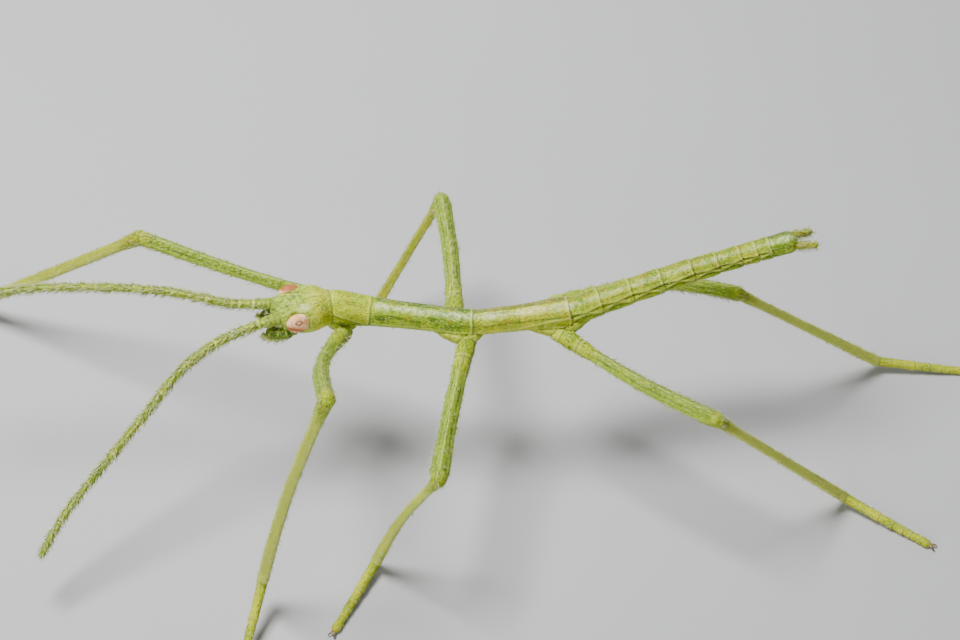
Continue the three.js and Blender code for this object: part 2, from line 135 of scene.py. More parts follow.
# %% [markdown]
# ## Ways to shape a length of skin
# A stick insect is a set of tubes. Each length could be a cylinder that is sculpted by hand,
# but a tube made of rings lets every rim, keel and fold be written as a small change of the
# ring's radius. So one helper turns rings into a closed mesh, and the rest is plain numbers:
# how far along, and at which angle round the tube, the skin rises or sinks. Three small
# curves draw nearly everything: a hump for a ridge, an ease for a step, and a span, which
# is a stretch with soft ends.

# %% Small curves
def hump(x, centre, width):
    """A smooth rise to 1 at the centre."""
    return np.exp(-(((x - centre) / width) ** 2))


def humps(x, centres, shift, width):
    """A hump beside each of several places."""
    return sum(hump(x, centre + shift, width) for centre in centres)


def ease(x, low, high):
    """0 below low, 1 above high, smooth between."""
    t = np.clip((x - low) / (high - low), 0.0, 1.0)
    return t * t * (3.0 - 2.0 * t)


def span(x, start, full, fall, end):
    """Rises from start to full, stays at 1, and falls away from fall to end."""
    return ease(x, start, full) * (1 - ease(x, fall, end))


def profile(table, x, soft=0.3):
    """Reads columns of a table of [place, value, ...], with its corners rounded over +-soft."""
    rows = np.array(table, dtype=float)
    shifts = np.linspace(-soft, soft, 9)
    return [np.mean([np.interp(x + shift, rows[:, 0], rows[:, column]) for shift in shifts], axis=0)
            for column in range(1, rows.shape[1])]


def unit(vectors):
    """The same directions, with a length of 1."""
    return vectors / np.linalg.norm(vectors, axis=-1, keepdims=True)


print("a hump at 0, 1 and 2 widths:", np.round(hump(np.arange(3), 0, 1), 2).tolist())

# %% [markdown]
# Every tube needs a path, and at each ring a direction across and a direction up. Bones or
# curves could hold these. A bearing and a rise in degrees are simpler here, since they read
# like instructions to a walker, and the path is the sum of the steps.

# %% Directions
def axes(bearing, rise):
    """Along, across and up for a bearing (from +X towards +Y) and a rise, in degrees."""
    b, r = np.radians(bearing), np.radians(rise)
    zero = np.zeros(np.shape(b + r))
    along = np.stack([np.cos(r) * np.cos(b), np.cos(r) * np.sin(b), np.sin(r) + zero], -1)
    across = np.stack([-np.sin(b) + zero, np.cos(b) + zero, zero], -1)
    up = np.stack([-np.sin(r) * np.cos(b), -np.sin(r) * np.sin(b), np.cos(r) + zero], -1)
    return along, across, up


def point_on(path_points, places, place):
    """The point that a path, or the direction that a row of directions, has at one place."""
    return np.array([np.interp(place, places, path_points[:, axis]) for axis in range(3)])


def walk(start, places, bearing, rise, anchor=0.0):
    """A path through changing directions. It passes start at the place called anchor."""
    along, across, up = axes(bearing + 0 * places, rise + 0 * places)
    steps = np.diff(places)[:, None] * (along[1:] + along[:-1]) / 2
    centres = np.vstack([np.zeros(3), np.cumsum(steps, axis=0)])
    return centres - point_on(centres, places, anchor) + np.asarray(start), across, up


def heading(start, end):
    """Bearing and rise from one point to another."""
    x, y, z = np.asarray(end) - np.asarray(start)
    return math.degrees(math.atan2(y, x)), math.degrees(math.atan2(z, math.hypot(x, y)))


print("bearing and rise from (0, 0, 0) to (1, 1, 0):", heading((0, 0, 0), (1, 1, 0)))

# %% [markdown]
# A length of skin keeps three things: its points, its marks and its lie. A mark is a number
# from 0 to 1 at every point, such as how pale the skin is there, and the finish turns it
# into colour. The lie is the place of each point on its own straightened limb, so that a
# pattern follows the limb however it bends. Relief and marks are both written as lists of
# pairs, a height or a strength and the form that has it.

# %% A length of skin
# The sheen mark paints a silvery colour, which is partly a real bloom and partly painted highlight.
MARKS = ["pale", "deep", "warm", "brown", "sheen", "leg", "feeler", "head"]
# The skin lies inside the solids by the depth of the coat of bristles.
SKIN = 0.965
SMALLEST_END = 0.02
lengths = []


def ring_angles(sides):
    """Angles round a tube, in degrees: 0 is its right side, 90 its top and 180 its left."""
    return np.arange(sides) * 360.0 / sides


def angle_from_top(angle):
    """Degrees from the top of a tube, the same to the left and to the right."""
    return np.abs((angle + 90) % 360 - 180)


def skin_length(name, path, places, wide, high, relief=0.0, **marks):
    """One closed tube of rings: its points, its marks and the lie of its skin."""
    centres, across, up = path
    shape = np.broadcast_shapes(np.shape(relief), np.shape(wide), (len(places), 1))
    turn = np.radians(ring_angles(shape[1]))
    right = (wide + relief) * np.cos(turn)
    rise = (high + relief) * np.sin(turn)
    points = centres[:, None] + right[..., None] * across[:, None] + rise[..., None] * up[:, None]
    lie = np.stack([places[:, None] + 0 * right, right, rise], -1)
    kept = {mark: np.broadcast_to(marks.get(mark, 0.0), shape) + np.zeros(shape) for mark in MARKS}
    return {"name": name, "points": points, "lie": lie, "marks": kept}


def add_length(*shape, **marks):
    """Makes a length, keeps it for the one skin and gives its points."""
    lengths.append(skin_length(*shape, **marks))
    return lengths[-1]["points"]


def raised(*forms):
    """Relief in millimetres, from pairs of a height and the form that has it."""
    return sum(height * form for height, form in forms)


def painted(*forms):
    """A mark from 0 to 1, from pairs of a strength and the form that carries it."""
    return np.clip(raised(*forms), 0, 1)


print("marks painted on the skin:", MARKS)

# %% Round ends and close rings
def half_ball(share):
    """The radius of a round end, by the share of its depth that has been reached."""
    return np.sqrt(np.clip(1 - (1 - np.clip(share, 0, 1)) ** 2, SMALLEST_END, 1))


def rounded(places, start=0.3, end=0.3):
    """A factor that closes a tube's two ends as half balls of the given depths."""
    return half_ball((places - places[0]) / start) * half_ball((places[-1] - places) / end)


def skin_radius(radius, ends):
    """A column of radii for a tube of skin that closes at its ends."""
    return (radius * SKIN * ends)[:, None]


def places_between(start, end, step, tight=(), reach=0.16, fine=0.025):
    """Places along a tube, closer together at both ends and beside each tight place."""
    parts = [np.arange(start, end, step), [end]]
    for spot in [start, end, *tight]:
        parts.append(np.arange(spot - reach, spot + reach, fine))
    joined = np.unique(np.round(np.concatenate(parts), 4))
    joined = joined[(joined >= start) & (joined <= end)]
    keep = np.concatenate([[True], np.diff(joined) > 0.4 * fine])
    return joined[keep]


print("rings on 2 mm with one tight place:", len(places_between(0, 2, 0.1, tight=[1])))

# %% [markdown]
# ## The trunk
# The three rings of the thorax and the nine segments of the abdomen overlap like the tubes of
# a telescope: each hard ring ends in a pale rim that stands proud of the next. Separate rings
# would leave open seams, so the trunk is one tube whose radius steps down behind every rim.
# Low on each side run soft folds, where the back's plate meets the belly's.

# %% Trunk measures
# Places along the trunk start at the neck. Ways are a bearing and a rise in degrees.
WAIST = np.array([3.741, 4.192, 12.77])
PROTHORAX, MESOTHORAX, METATHORAX = 2.84, 7.33, 6.97
FORE_WAY, HIND_WAY, TAIL_WAY = (-5.3, -3.8), (5.1, 3.7), (14.5, 10.3)
SEGMENTS = [2.3, 2.3, 2.3, 2.3, 1.9, 1.7, 1.2, 1.0, 1.9]
SEGMENT_RADII = [1.04, 1.0, 0.95, 0.92, 0.88, 0.82, 0.8, 0.82, 0.84]
ARCH = 0.3
COLLAR_AT = PROTHORAX
WAIST_AT = PROTHORAX + MESOTHORAX
RUMP_AT = WAIST_AT + METATHORAX
SEGMENT_ENDS = RUMP_AT + np.cumsum(SEGMENTS)
TAIL_AT = SEGMENT_ENDS[-1]
RIMS = [COLLAR_AT, WAIST_AT, RUMP_AT, *SEGMENT_ENDS[:-1]]
# Each row is a place, then the half width, the half height and the lift there.
THORAX_TABLE = [
    [-0.6, 1.0, 0.96, 0.04], [-0.2, 1.14, 1.1, 0.08], [0.2, 1.25, 1.21, 0.1], [0.8, 1.24, 1.2, 0.1],
    [1.9, 1.14, 1.11, 0.08], [2.6, 1.13, 1.11, 0.02], [2.84, 1.11, 1.09, 0.0], [3.24, 1.07, 1.06, 0.0],
    [5.14, 1.0, 1.0, 0.0], [7.64, 0.97, 0.97, 0.0], [9.74, 0.98, 0.98, 0.0], [10.1, 0.98, 0.98, 0.0],
    [10.45, 0.93, 0.93, 0.0], [13.57, 0.98, 0.98, 0.0], [15.17, 1.06, 1.05, 0.04],
    [16.27, 1.16, 1.15, 0.06], [17.1, 1.13, 1.11, 0.02],
]
# A segment is narrowest just behind its front edge and widest just before its rim.
SEGMENT_WAIST = {"behind": 0.12, "share": 0.97}
SEGMENT_RIM = {"at_share": 0.9, "share": 0.51}


def trunk_table():
    """Half width, half height and lift along the trunk, from the neck to the tail."""
    rows = list(THORAX_TABLE)
    start = RUMP_AT
    for radius, following, length in zip(SEGMENT_RADII, [*SEGMENT_RADII[1:], SEGMENT_RADII[-1]], SEGMENTS):
        waist_radius = SEGMENT_WAIST["share"] * radius
        rim_radius = SEGMENT_RIM["share"] * (radius + following)
        rows.append([start + SEGMENT_WAIST["behind"], waist_radius, waist_radius, 0.0])
        rows.append([start + SEGMENT_RIM["at_share"] * length, rim_radius, rim_radius, 0.0])
        start += length
    return rows


print("trunk from neck to tail:", round(float(TAIL_AT), 2), "mm, rows:", len(trunk_table()))

# %% Where the trunk runs
TRUNK_SIDES = 80
# The trunk turns at two places, and a turn is this short before its corner is rounded over.
CORNER = 0.01
WAY_SOFTNESS = 0.9

trunk_at = places_between(-0.55, TAIL_AT + 0.16, 0.085, tight=RIMS)
trunk_ways = [[0, *FORE_WAY], [WAIST_AT - CORNER, *FORE_WAY], [WAIST_AT + CORNER, *HIND_WAY],
              [RUMP_AT - CORNER, *HIND_WAY], [RUMP_AT + CORNER, *TAIL_WAY], [TAIL_AT, *TAIL_WAY]]
trunk_bearing, trunk_rise = profile(trunk_ways, trunk_at, WAY_SOFTNESS)
trunk_path = walk(WAIST, trunk_at, trunk_bearing, trunk_rise, anchor=WAIST_AT)
neck = point_on(trunk_path[0], trunk_at, 0.0)
wide, high, lift = profile(trunk_table(), trunk_at, 0.12)
lift += ARCH * np.sin(np.pi * np.clip((trunk_at - RUMP_AT) / (TAIL_AT - RUMP_AT), 0, 1))
trunk_path = (trunk_path[0] + lift[:, None] * trunk_path[2], *trunk_path[1:])
ends = rounded(trunk_at, 0.2, 0.75)
print("trunk rings:", len(trunk_at), "neck in mm:", neck.round(2).tolist())

# %% [markdown]
# The relief is written on two grids: s is the place along the trunk and theta the angle round
# it. Masks say where a form may be. The plates of the back end in a sharp edge on the
# prothorax, in two ridges on the flank of the thorax, and in a row of waving folds on the
# abdomen, which swing once with each segment.

# %% Masks on the trunk
s = trunk_at[:, None]
theta = ring_angles(TRUNK_SIDES)[None, :]
from_top = angle_from_top(theta)
on_abdomen = span(s, RUMP_AT - 0.1, RUMP_AT + 0.3, TAIL_AT - 2.4, TAIL_AT - 1.6)
on_thorax = span(s, COLLAR_AT, COLLAR_AT + 0.5, RUMP_AT - 0.4, RUMP_AT)
on_metathorax = span(s, WAIST_AT, WAIST_AT + 0.4, RUMP_AT, RUMP_AT + 0.4)
on_plate = span(s, 0.15, 0.4, 2.5, 2.8)
behind_collar = ease(s, COLLAR_AT, COLLAR_AT + 0.6)
to_rump = ease(s, RUMP_AT - 4.8, RUMP_AT - 0.6)
print("share of the trunk that is abdomen:", round(float(on_abdomen.mean()), 2))

# %% Rims, ridges and folds of the trunk
FOLD_LENGTH = 2.1
FAR_OFF = 99.0

since_rim = np.min([np.where(s > rim_at, s - rim_at, FAR_OFF) for rim_at in RIMS], axis=0)
fold_share = np.clip(since_rim / FOLD_LENGTH, 0, 1)
bow = np.sin(np.pi * fold_share)
swing = np.cos(2 * np.pi * fold_share)


def fold(angle, reach, wave, width):
    """A line along the abdomen, at an angle from the top that swings with each segment."""
    return hump(from_top, angle + reach * wave, width) * on_abdomen


rim_wander = 0.02 * np.sin(theta / 11) + 0.012 * np.sin(theta / 4.3 + 1.0)
plate_ends_at = 100 - 42 * on_abdomen
rim = humps(s, RIMS, rim_wander - 0.1, 0.075) * (1 - ease(from_top, plate_ends_at - 8, plate_ends_at + 8))
behind_rim = humps(s, RIMS, rim_wander + 0.06, 0.06)
side_ridge = hump(from_top, 94 - 30 * to_rump, 5.0) * on_thorax
lower_ridge = hump(from_top, 108 - 10 * to_rump, 5.0) * on_thorax
upper_fold = fold(48, 8, bow, 3.6)
fold_groove = fold(59, 7, bow, 4.0)
lower_fold = fold(72, 8, swing, 5.0)
lower_groove = fold(87, 5, swing, 4.5)
lowest_fold = fold(102, -7, swing, 6.0)
plate_side = 64 + 16 * (s - 0.3)
plate_edge = hump(from_top, plate_side, 3.6) * on_plate
plate_crease = hump(from_top, plate_side + 9, 4.0) * on_plate
print("rims:", len(RIMS), "folds and grooves on each side of the abdomen: 5")

# %% Trunk relief
# Where each pair of hips swells the flank: its place, its height and its length.
HIP_SWELLS = [(1.5, 0.2, 0.75), (8.9, 0.24, 0.8), (15.9, 0.2, 1.0)]

hip_swell = sum(height * hump(s, place, length) for place, height, length in HIP_SWELLS)
hip_swell = hip_swell * hump(from_top, 119, 20)
belly_keel = hump(from_top, 180, 9) * ease(s, COLLAR_AT, COLLAR_AT + 1)
flat_belly = ease(from_top, 128, 165)
wrinkle = np.sin(s * 21 + 2 * np.sin(theta / 30)) * ease(from_top, 70, 100)
plate_grain = np.sin(s * 9 + theta / 14) * np.sin(theta / 6.5 - s * 5) * (1 - ease(s, 2.3, 2.8))
segment_wave = bow * on_abdomen * (1 - ease(from_top, 80, 95))
trunk_relief = raised(
    (0.04, rim), (-0.045, behind_rim), (0.075, side_ridge), (0.05, lower_ridge), (0.05, upper_fold),
    (0.07, lower_fold), (0.06, lowest_fold), (-0.075, fold_groove), (-0.07, lower_groove),
    (0.05, plate_edge), (-0.05, plate_crease), (0.03, belly_keel), (1, hip_swell), (0.008, wrinkle),
    (0.014, plate_grain), (-0.02, segment_wave), (-0.05, flat_belly),
)
print("trunk relief in mm:", trunk_relief.min().round(3), "to", trunk_relief.max().round(3))

# %% [markdown]
# Marks follow the same measures as the shape. Rims and ridges are pale and a little worn,
# the grooves and the flank's band are a deeper green, and the flank has warm, brownish
# blotches. The silvery strip on the back is partly a thin, speckled bloom and partly a painted
# highlight of the wet shine. It lies a little to the left of the midline, and beside it on
# the right runs a deep green band of painted shade.

# %% Trunk marks
BACK_TURN = 12

from_strip = np.abs(theta - 90 - BACK_TURN)
right_of_strip = 90 + BACK_TURN - theta
wobble = 3 * np.sin(s * 2.3) + 2 * np.sin(s * 5.1 + 1.0)
# The silvery strip is partly a real bloom and partly a painted highlight.
bloom_and_highlight_strip = hump(from_strip, 2 + wobble, 12 - 4 * on_abdomen) * (1 - 0.4 * on_abdomen)
flank_band = hump(from_strip, 44 + wobble, 13) * behind_collar * (1 - 0.7 * on_abdomen)
# Painted shade: the back is painted a deeper green to the right of the strip, and a little browner on the
# metathorax.
right_shade_band = span(right_of_strip, 15, 32, 84, 104) * behind_collar * (1 - 0.55 * on_abdomen)
thin_bands = hump(from_strip, 26 + wobble, 5) * behind_collar
blotches = ease(np.sin(s * 3.1) * np.sin(s * 1.37 + theta / 40), 0.1, 0.7) * hump(from_strip, 36, 20)
twin_lines = (hump(from_top, 14, 2.2) + hump(from_top, 23, 2.2)) * span(s, 0.95, 1.15, 2.0, 2.3)
back_spot = hump(s, RUMP_AT - 1.75, 0.16) * hump(theta, 104, 7)
neck_spot = hump(s, 1.1, 0.5) * hump(from_top, 12, 16)
flank_of_abdomen = on_abdomen * hump(from_top, 60, 24)
back_of_abdomen = on_abdomen * (1 - ease(from_top, 30, 48))

trunk_marks = {
    "pale": painted((0.62, rim), (0.8, hump(s, 0.02, 0.08)), (0.7, side_ridge), (0.4, lower_ridge),
                    (0.5, upper_fold), (0.6, lower_fold), (0.5, lowest_fold), (0.8, plate_edge)),
    "deep": painted((0.6, behind_rim), (0.8, flank_band), (1, fold_groove), (1, lower_groove),
                    (0.7, plate_crease), (0.45, twin_lines), (0.3, thin_bands), (0.95, right_shade_band)),
    "warm": painted((1, on_metathorax), (0.5, flank_of_abdomen), (0.45, 1 - ease(s, 2.4, 3.0))),
    "brown": painted((0.5, blotches * ease(s, COLLAR_AT, COLLAR_AT + 0.5)), (0.9, back_spot),
                     (0.35, neck_spot), (0.3, back_of_abdomen), (0.3, on_metathorax * right_shade_band)),
    "sheen": painted((1, (bloom_and_highlight_strip + 0.12 * right_shade_band) * ease(s, COLLAR_AT + 0.05, COLLAR_AT + 0.4))),
}
add_length("trunk", trunk_path, trunk_at, skin_radius(wide, ends), skin_radius(high, ends),
           trunk_relief * ends[:, None], **trunk_marks)
print("mean of each mark:", {mark: round(float(np.mean(kept)), 2) for mark, kept in trunk_marks.items()})

# %% [markdown]
# ## The head
# The head is a smooth egg that ends in a face with a wide lip. The egg is one tube along the
# head's own axis. Its seams, the seat of each eye and the swelling that carries each feeler
# are then pressed in or raised, by their distance from a line or a point on the egg.

# %% Head measures
# Lengths along the head are negative in front of the neck.
HEAD_WAY = (16.0, -8.0)
HEAD_TABLE = [
    [-4.5, 0.5, 0.4, 0.3], [-4.2, 0.98, 0.84, 0.18], [-3.7, 1.3, 1.18, 0.06], [-3.1, 1.52, 1.4, 0.0],
    [-2.4, 1.73, 1.59, 0.06], [-1.8, 1.82, 1.68, 0.14], [-1.2, 1.73, 1.63, 0.2], [-0.65, 1.48, 1.42, 0.14],
    [-0.2, 1.26, 1.23, 0.0], [0.2, 1.02, 1.0, 0.0],
]
EYE = {"along": -2.8, "out": 1.36, "up": 0.42, "radii": (0.87, 0.5, 0.86)}
FEELER_SEAT = (-3.75, 0.72, 0.46)
HEAD_SIDES = 144
head_along, head_across, head_up = axes(*HEAD_WAY)


def on_head(along, out, up):
    """A point given in the head's own lengths, in the shared frame."""
    return neck + along * head_along + out * head_across + up * head_up


def head_path(at, lift):
    """A straight path along the head, raised by the lift."""
    centres = neck + at[:, None] * head_along + lift[:, None] * head_up
    return centres, head_across + 0 * centres, head_up + 0 * centres


print("head length in mm:", round(HEAD_TABLE[-1][0] - HEAD_TABLE[0][0], 2))

# %% Places on the head
head_at = np.arange(-4.5, 0.21, 0.045)
wide, high, lift = profile(HEAD_TABLE, head_at, 0.22)
ends = rounded(head_at, 0.3, 0.2)
a = head_at[:, None]
theta = ring_angles(HEAD_SIDES)[None, :]
from_top = angle_from_top(theta)
side_y = wide[:, None] * np.cos(np.radians(theta))
side_z = high[:, None] * np.sin(np.radians(theta)) + lift[:, None]
face = ease(-a, 2.0, 2.7) * (1 - ease(from_top, 55, 95))
behind_face = 1 - ease(-a, 1.5, 2.2)
print("head rings:", len(head_at))

# %% Eye seats and feeler seats
eye_reach = np.sqrt(((a - EYE["along"]) / EYE["radii"][0]) ** 2
                    + ((side_z - EYE["up"]) / EYE["radii"][2]) ** 2)
on_side = ease(np.abs(side_y), 0.7, 1.1)
eye_seat = (1 - ease(eye_reach, 0.82, 0.97)) * on_side
eye_lid = hump(eye_reach, 1.07, 0.07) * on_side
# The swelling stands a little behind the feeler's root and above it.
SWELL_BEHIND, SWELL_ABOVE = 0.12, 0.35
seat_reach = np.sqrt((a - FEELER_SEAT[0] - SWELL_BEHIND) ** 2 + (np.abs(side_y) - FEELER_SEAT[1]) ** 2
                     + (side_z - FEELER_SEAT[2] - SWELL_ABOVE) ** 2)
feeler_swell = hump(seat_reach, 0, 0.62) * (1 - ease(from_top, 80, 110))
print("points in the eye seats:", int((eye_seat > 0.5).sum()))

# %% Seams, cheeks and nape
FORK_AT = -1.95
CHEEK_FOLD = 0.42

fork_angle = np.clip((FORK_AT - a) * 24, 0, 60)
seam = hump(from_top, fork_angle, 2.6 + 1.2 * ease(-a, 2.0, 3.2)) * span(-a, 0.35, 0.8, 3.5, 4.0)
seam_side = hump(from_top, fork_angle + 6, 3.5) * span(-a, 0.5, 1.0, 3.5, 4.0)
between_seams = face * (1 - ease(from_top, fork_angle - 4, fork_angle + 4))
cheek = ease(-a, 2.7, 3.1) * hump(from_top, 112, 24)
cheek_folds = cheek * np.cos((a + 0.35 * np.cos(np.radians(from_top - 90))) * 2 * np.pi / CHEEK_FOLD)
cheek_line = hump(from_top, 118 - 6 * (a + 1.2), 4) * span(-a, 0.6, 1.1, 2.6, 3.0)
nape_fold = hump(a, -0.12, 0.09)
nape_rim = hump(a, -0.36, 0.13)
face_grain = between_seams * (np.sin(a * 17 + theta / 9) * np.sin(theta / 5.3 - a * 7))
head_relief = raised(
    (0.035, eye_lid), (-0.09, eye_seat), (0.16, feeler_swell), (0.02, seam), (-0.02, seam_side),
    (-0.06, between_seams * ease(-a, 2.6, 3.6)), (0.02, face_grain), (0.035, cheek_folds),
    (-0.06, nape_fold), (0.02, nape_rim), (-0.02, cheek_line), (-0.05, ease(from_top, 140, 180)),
)
print("head relief in mm:", head_relief.min().round(3), "to", head_relief.max().round(3))

# %% Head marks
right_half = 1 - 0.8 * span(theta, 91, 99, 200, 260)
face_speck = np.sin(a * 11 + theta / 6) * np.sin(theta / 3.7 - a * 5) + 0.5 * np.sin(a * 23 + theta / 2.3)
stripes = 0.5 + 0.5 * np.cos(np.radians(from_top) * 15)
# The glint above each eye, and the sheen on the face's grain, are painted highlights.
painted_glint = hump(a, -2.35, 0.42) * hump(theta, 119, 9)
muzzle_tip = hump(from_top, 0, 24) * ease(-a, 3.9, 4.3)
head_marks = {
    "pale": painted((0.6, seam * right_half), (0.2, eye_lid), (0.8, painted_glint), (0.14, stripes * behind_face),
                    (0.3, face * ease(face_speck, 0.2, 0.7)), (0.4, ease(cheek_folds, 0.3, 0.9)),
                    (0.35, nape_rim)),
    "deep": painted((0.95, cheek * (1 - ease(cheek_folds, 0.2, 0.8))), (0.5, seam_side * face),
                    (0.7, nape_fold), (0.35, cheek_line), (0.3, eye_seat),
                    (1, face * (0.22 + 0.45 * ease(-face_speck, 0.1, 0.7))), (0.9, muzzle_tip)),
    "warm": painted((0.75, behind_face), (0.25, 1 - face)),
    "brown": 0.5 * hump(a, -1.7, 0.22) * hump(theta, 88, 8),
    "sheen": painted((1, painted_glint), (0.25, face * ease(face_grain, 0.3, 0.7))),
    "head": 1.0,
}
add_length("head", head_path(head_at, lift), head_at, skin_radius(wide, ends), skin_radius(high, ends),
           head_relief * ends[:, None], **head_marks)
print("mean of each mark:", {mark: round(float(np.mean(kept)), 2) for mark, kept in head_marks.items()})

# %% [markdown]
# The mouth is built from what it has: a lip plate that hangs from the face, two jaws behind
# it, and two pairs of jointed palps. Modelled as one lump these would read as a snout; as
# short tubes that run into one another they leave the real creases between them. Every one
# of them is a tube through a few corner points, and so are the hips and claws later.

# %% A tube through corners
# How far a corner's own row stands from it, before the corner is rounded over.
ROW_GAP = 1e-3


def joined_tube(name, corners, step, radius_table, sides, relief=None, soft=0.12, **marks):
    """A tube through corner points. The table gives its radius by the share of its length."""
    corners = np.array(corners, dtype=float)
    reached = np.concatenate([[0], np.cumsum(np.linalg.norm(np.diff(corners, axis=0), axis=1))])
    places = np.arange(0, reached[-1] + step / 2, step)
    headings = np.array([heading(start, end) for start, end in zip(corners[:-1], corners[1:])])
    headings[:, 0] = np.degrees(np.unwrap(np.radians(headings[:, 0])))
    rows = []
    for i, (bearing, rise) in enumerate(headings):
        rows.append([reached[i] + ROW_GAP, bearing, rise])
        rows.append([reached[i + 1] - ROW_GAP, bearing, rise])
    path = walk(corners[0], places, *profile(rows, places, soft))
    radius, = profile(radius_table, places / reached[-1], 0.03)
    radius = (radius * rounded(places, 0.15, 0.2))[:, None]
    x, angle = places[:, None], ring_angles(sides)[None, :]
    bumps = relief(x, angle) if relief else np.zeros((len(places), sides))
    marks = {mark: kept(x, angle) if callable(kept) else kept for mark, kept in marks.items()}
    return skin_length(name, path, places, radius, radius, bumps, **marks)


def add_tube(*shape, **marks):
    """Makes a tube through corners and keeps it for the one skin."""
    lengths.append(joined_tube(*shape, **marks))


test_tube = joined_tube("test", [(0, 0, 0), (1, 0, 0), (1, 1, 0)], 0.1, [[0, 0.1], [1, 0.1]], 8)
print("a tube round one corner has", len(test_tube["points"]), "rings")

# %% Lip
# Each row is a place along the head, then the half width, the half height and the lift.
LIP_TABLE = [[-4.72, 0.34, 0.32, -1.0], [-4.5, 0.68, 0.62, -1.02], [-3.8, 0.92, 0.84, -0.92],
             [-3.0, 0.98, 0.88, -0.8], [-2.3, 0.7, 0.6, -0.6]]
LIP_SIDES = 56

lip_at = np.arange(-4.72, -2.29, 0.06)
wide, high, lift = profile(LIP_TABLE, lip_at, 0.15)
ends = rounded(lip_at, 0.25, 0.3)
b = lip_at[:, None]
lip_lines = (hump(b, -3.55, 0.07) + hump(b, -4.25, 0.06)) * np.ones(LIP_SIDES)
add_length("lip", head_path(lip_at, lift), lip_at, skin_radius(wide, ends), skin_radius(high, ends),
           -0.04 * lip_lines * ends[:, None], pale=0.4 + 0.5 * hump(b, -4.45, 0.2), deep=0.6 * lip_lines,
           warm=0.8, brown=0.25 * hump(b, -4.6, 0.12), head=1.0)
print("lip rings:", len(lip_at))

# %% Jaws and palps
# Corner points are along, out and up on the head.
JAW_PATH = [(-2.8, 1.0, -0.55), (-3.6, 1.06, -0.9), (-4.95, 0.76, -1.0)]
JAW_TABLE = [[0, 0.42], [0.4, 0.5], [0.75, 0.43], [1, 0.3]]
JAW_BAND = 0.6
LONG_PALP = [(-3.0, 0.8, -1.1), (-3.7, 1.0, -1.48), (-4.6, 0.98, -1.48), (-5.28, 0.85, -0.92)]
LONG_PALP_TABLE = [[0, 0.2], [0.3, 0.22], [0.7, 0.23], [1, 0.17]]
SHORT_PALP = [(-3.2, 0.3, -1.35), (-3.8, 0.38, -1.66), (-4.35, 0.42, -1.5)]
SHORT_PALP_TABLE = [[0, 0.15], [0.6, 0.17], [1, 0.12]]


def jaw_bands(x, angle):
    """Curved bands that run round a jaw, from -1 to 1."""
    return np.cos((x + 0.2 * np.cos(np.radians(angle - 200))) * 2 * np.pi / JAW_BAND)


def jaw_highlight(x, angle):
    """Painted highlights on the crests of those bands, on the jaw's upper side only."""
    return ease(jaw_bands(x, angle), 0.6, 0.98) * hump((angle + 180) % 360 - 180, 62, 42)


def palp_joints(joints, depth):
    """A relief with a narrow waist at each joint of a palp."""
    return lambda x, angle: -depth * humps(x, joints, 0, 0.05) + 0 * angle


for side, mark in SIDES:
    jaw, long_palp, short_palp = [[on_head(along, side * out, up) for along, out, up in corners]
                                  for corners in (JAW_PATH, LONG_PALP, SHORT_PALP)]
    # The jaw is painted deep green except on its lit crests: partly its own colour, partly painted shade in
    # the hollow between face and palps.
    add_tube(f"jaw_{mark}", jaw, 0.05, JAW_TABLE, 40, lambda x, angle: 0.03 * jaw_bands(x, angle),
             pale=lambda x, angle: 0.35 * jaw_highlight(x, angle),
             deep=lambda x, angle: 1 - 0.85 * jaw_highlight(x, angle), warm=0.2, head=1.0)
    # The long palps' sheen is a painted highlight over their pale yellow.
    add_tube(f"long_palp_{mark}", long_palp, 0.05, LONG_PALP_TABLE, 20, palp_joints([0.8, 1.65], 0.035),
             pale=1.0, warm=0.4, sheen=0.6, head=1.0)
    add_tube(f"short_palp_{mark}", short_palp, 0.05, SHORT_PALP_TABLE, 16, palp_joints([0.65], 0.03),
             pale=0.6, warm=0.9, head=1.0)
print("lengths so far:", [part["name"] for part in lengths])

# %% [markdown]
# ## Feelers and tail feelers
# A feeler is a chain of joints that thins slowly to its tip. Bones and bending would be one
# way; here the direction is given at six evenly spaced places and blended between them, so
# the curve is as smooth as the real one, and each joint is a faint waist with a pale ring.

# %% Feelers
FEELER_LENGTH = 24.85
FEELER_JOINTS = np.array([0.075, 0.115, 0.21, 0.31, 0.42, 0.53, 0.64, 0.75, 0.88]) * FEELER_LENGTH
# Six bearings and six rises, in degrees, from root to tip.
FEELER_WAYS = {
    "left": ([190, 204, 227, 224, 226, 240], [-7.6, -16.8, -28, -26.4, -27.4, -32]),
    "right": ([192, 169, 177, 180.5, 186, 191], [0, 8, 2.3, -0.4, -4.3, -8]),
}
FEELER_RADIUS = {"root": 0.38, "thins_by": 0.13, "skin": 0.93}
FEELER_SIDES = 24
SCAPE_BAND = 0.36


def feeler_radius(at):
    """The radius of a feeler, which thins quickly at first and then slowly."""
    share = np.clip(at / FEELER_LENGTH, 0, 1)
    radius = (FEELER_RADIUS["root"] - FEELER_RADIUS["thins_by"] * np.sqrt(share)) * FEELER_RADIUS["skin"]
    return (radius * rounded(at, 0.1, 0.5))[:, None]


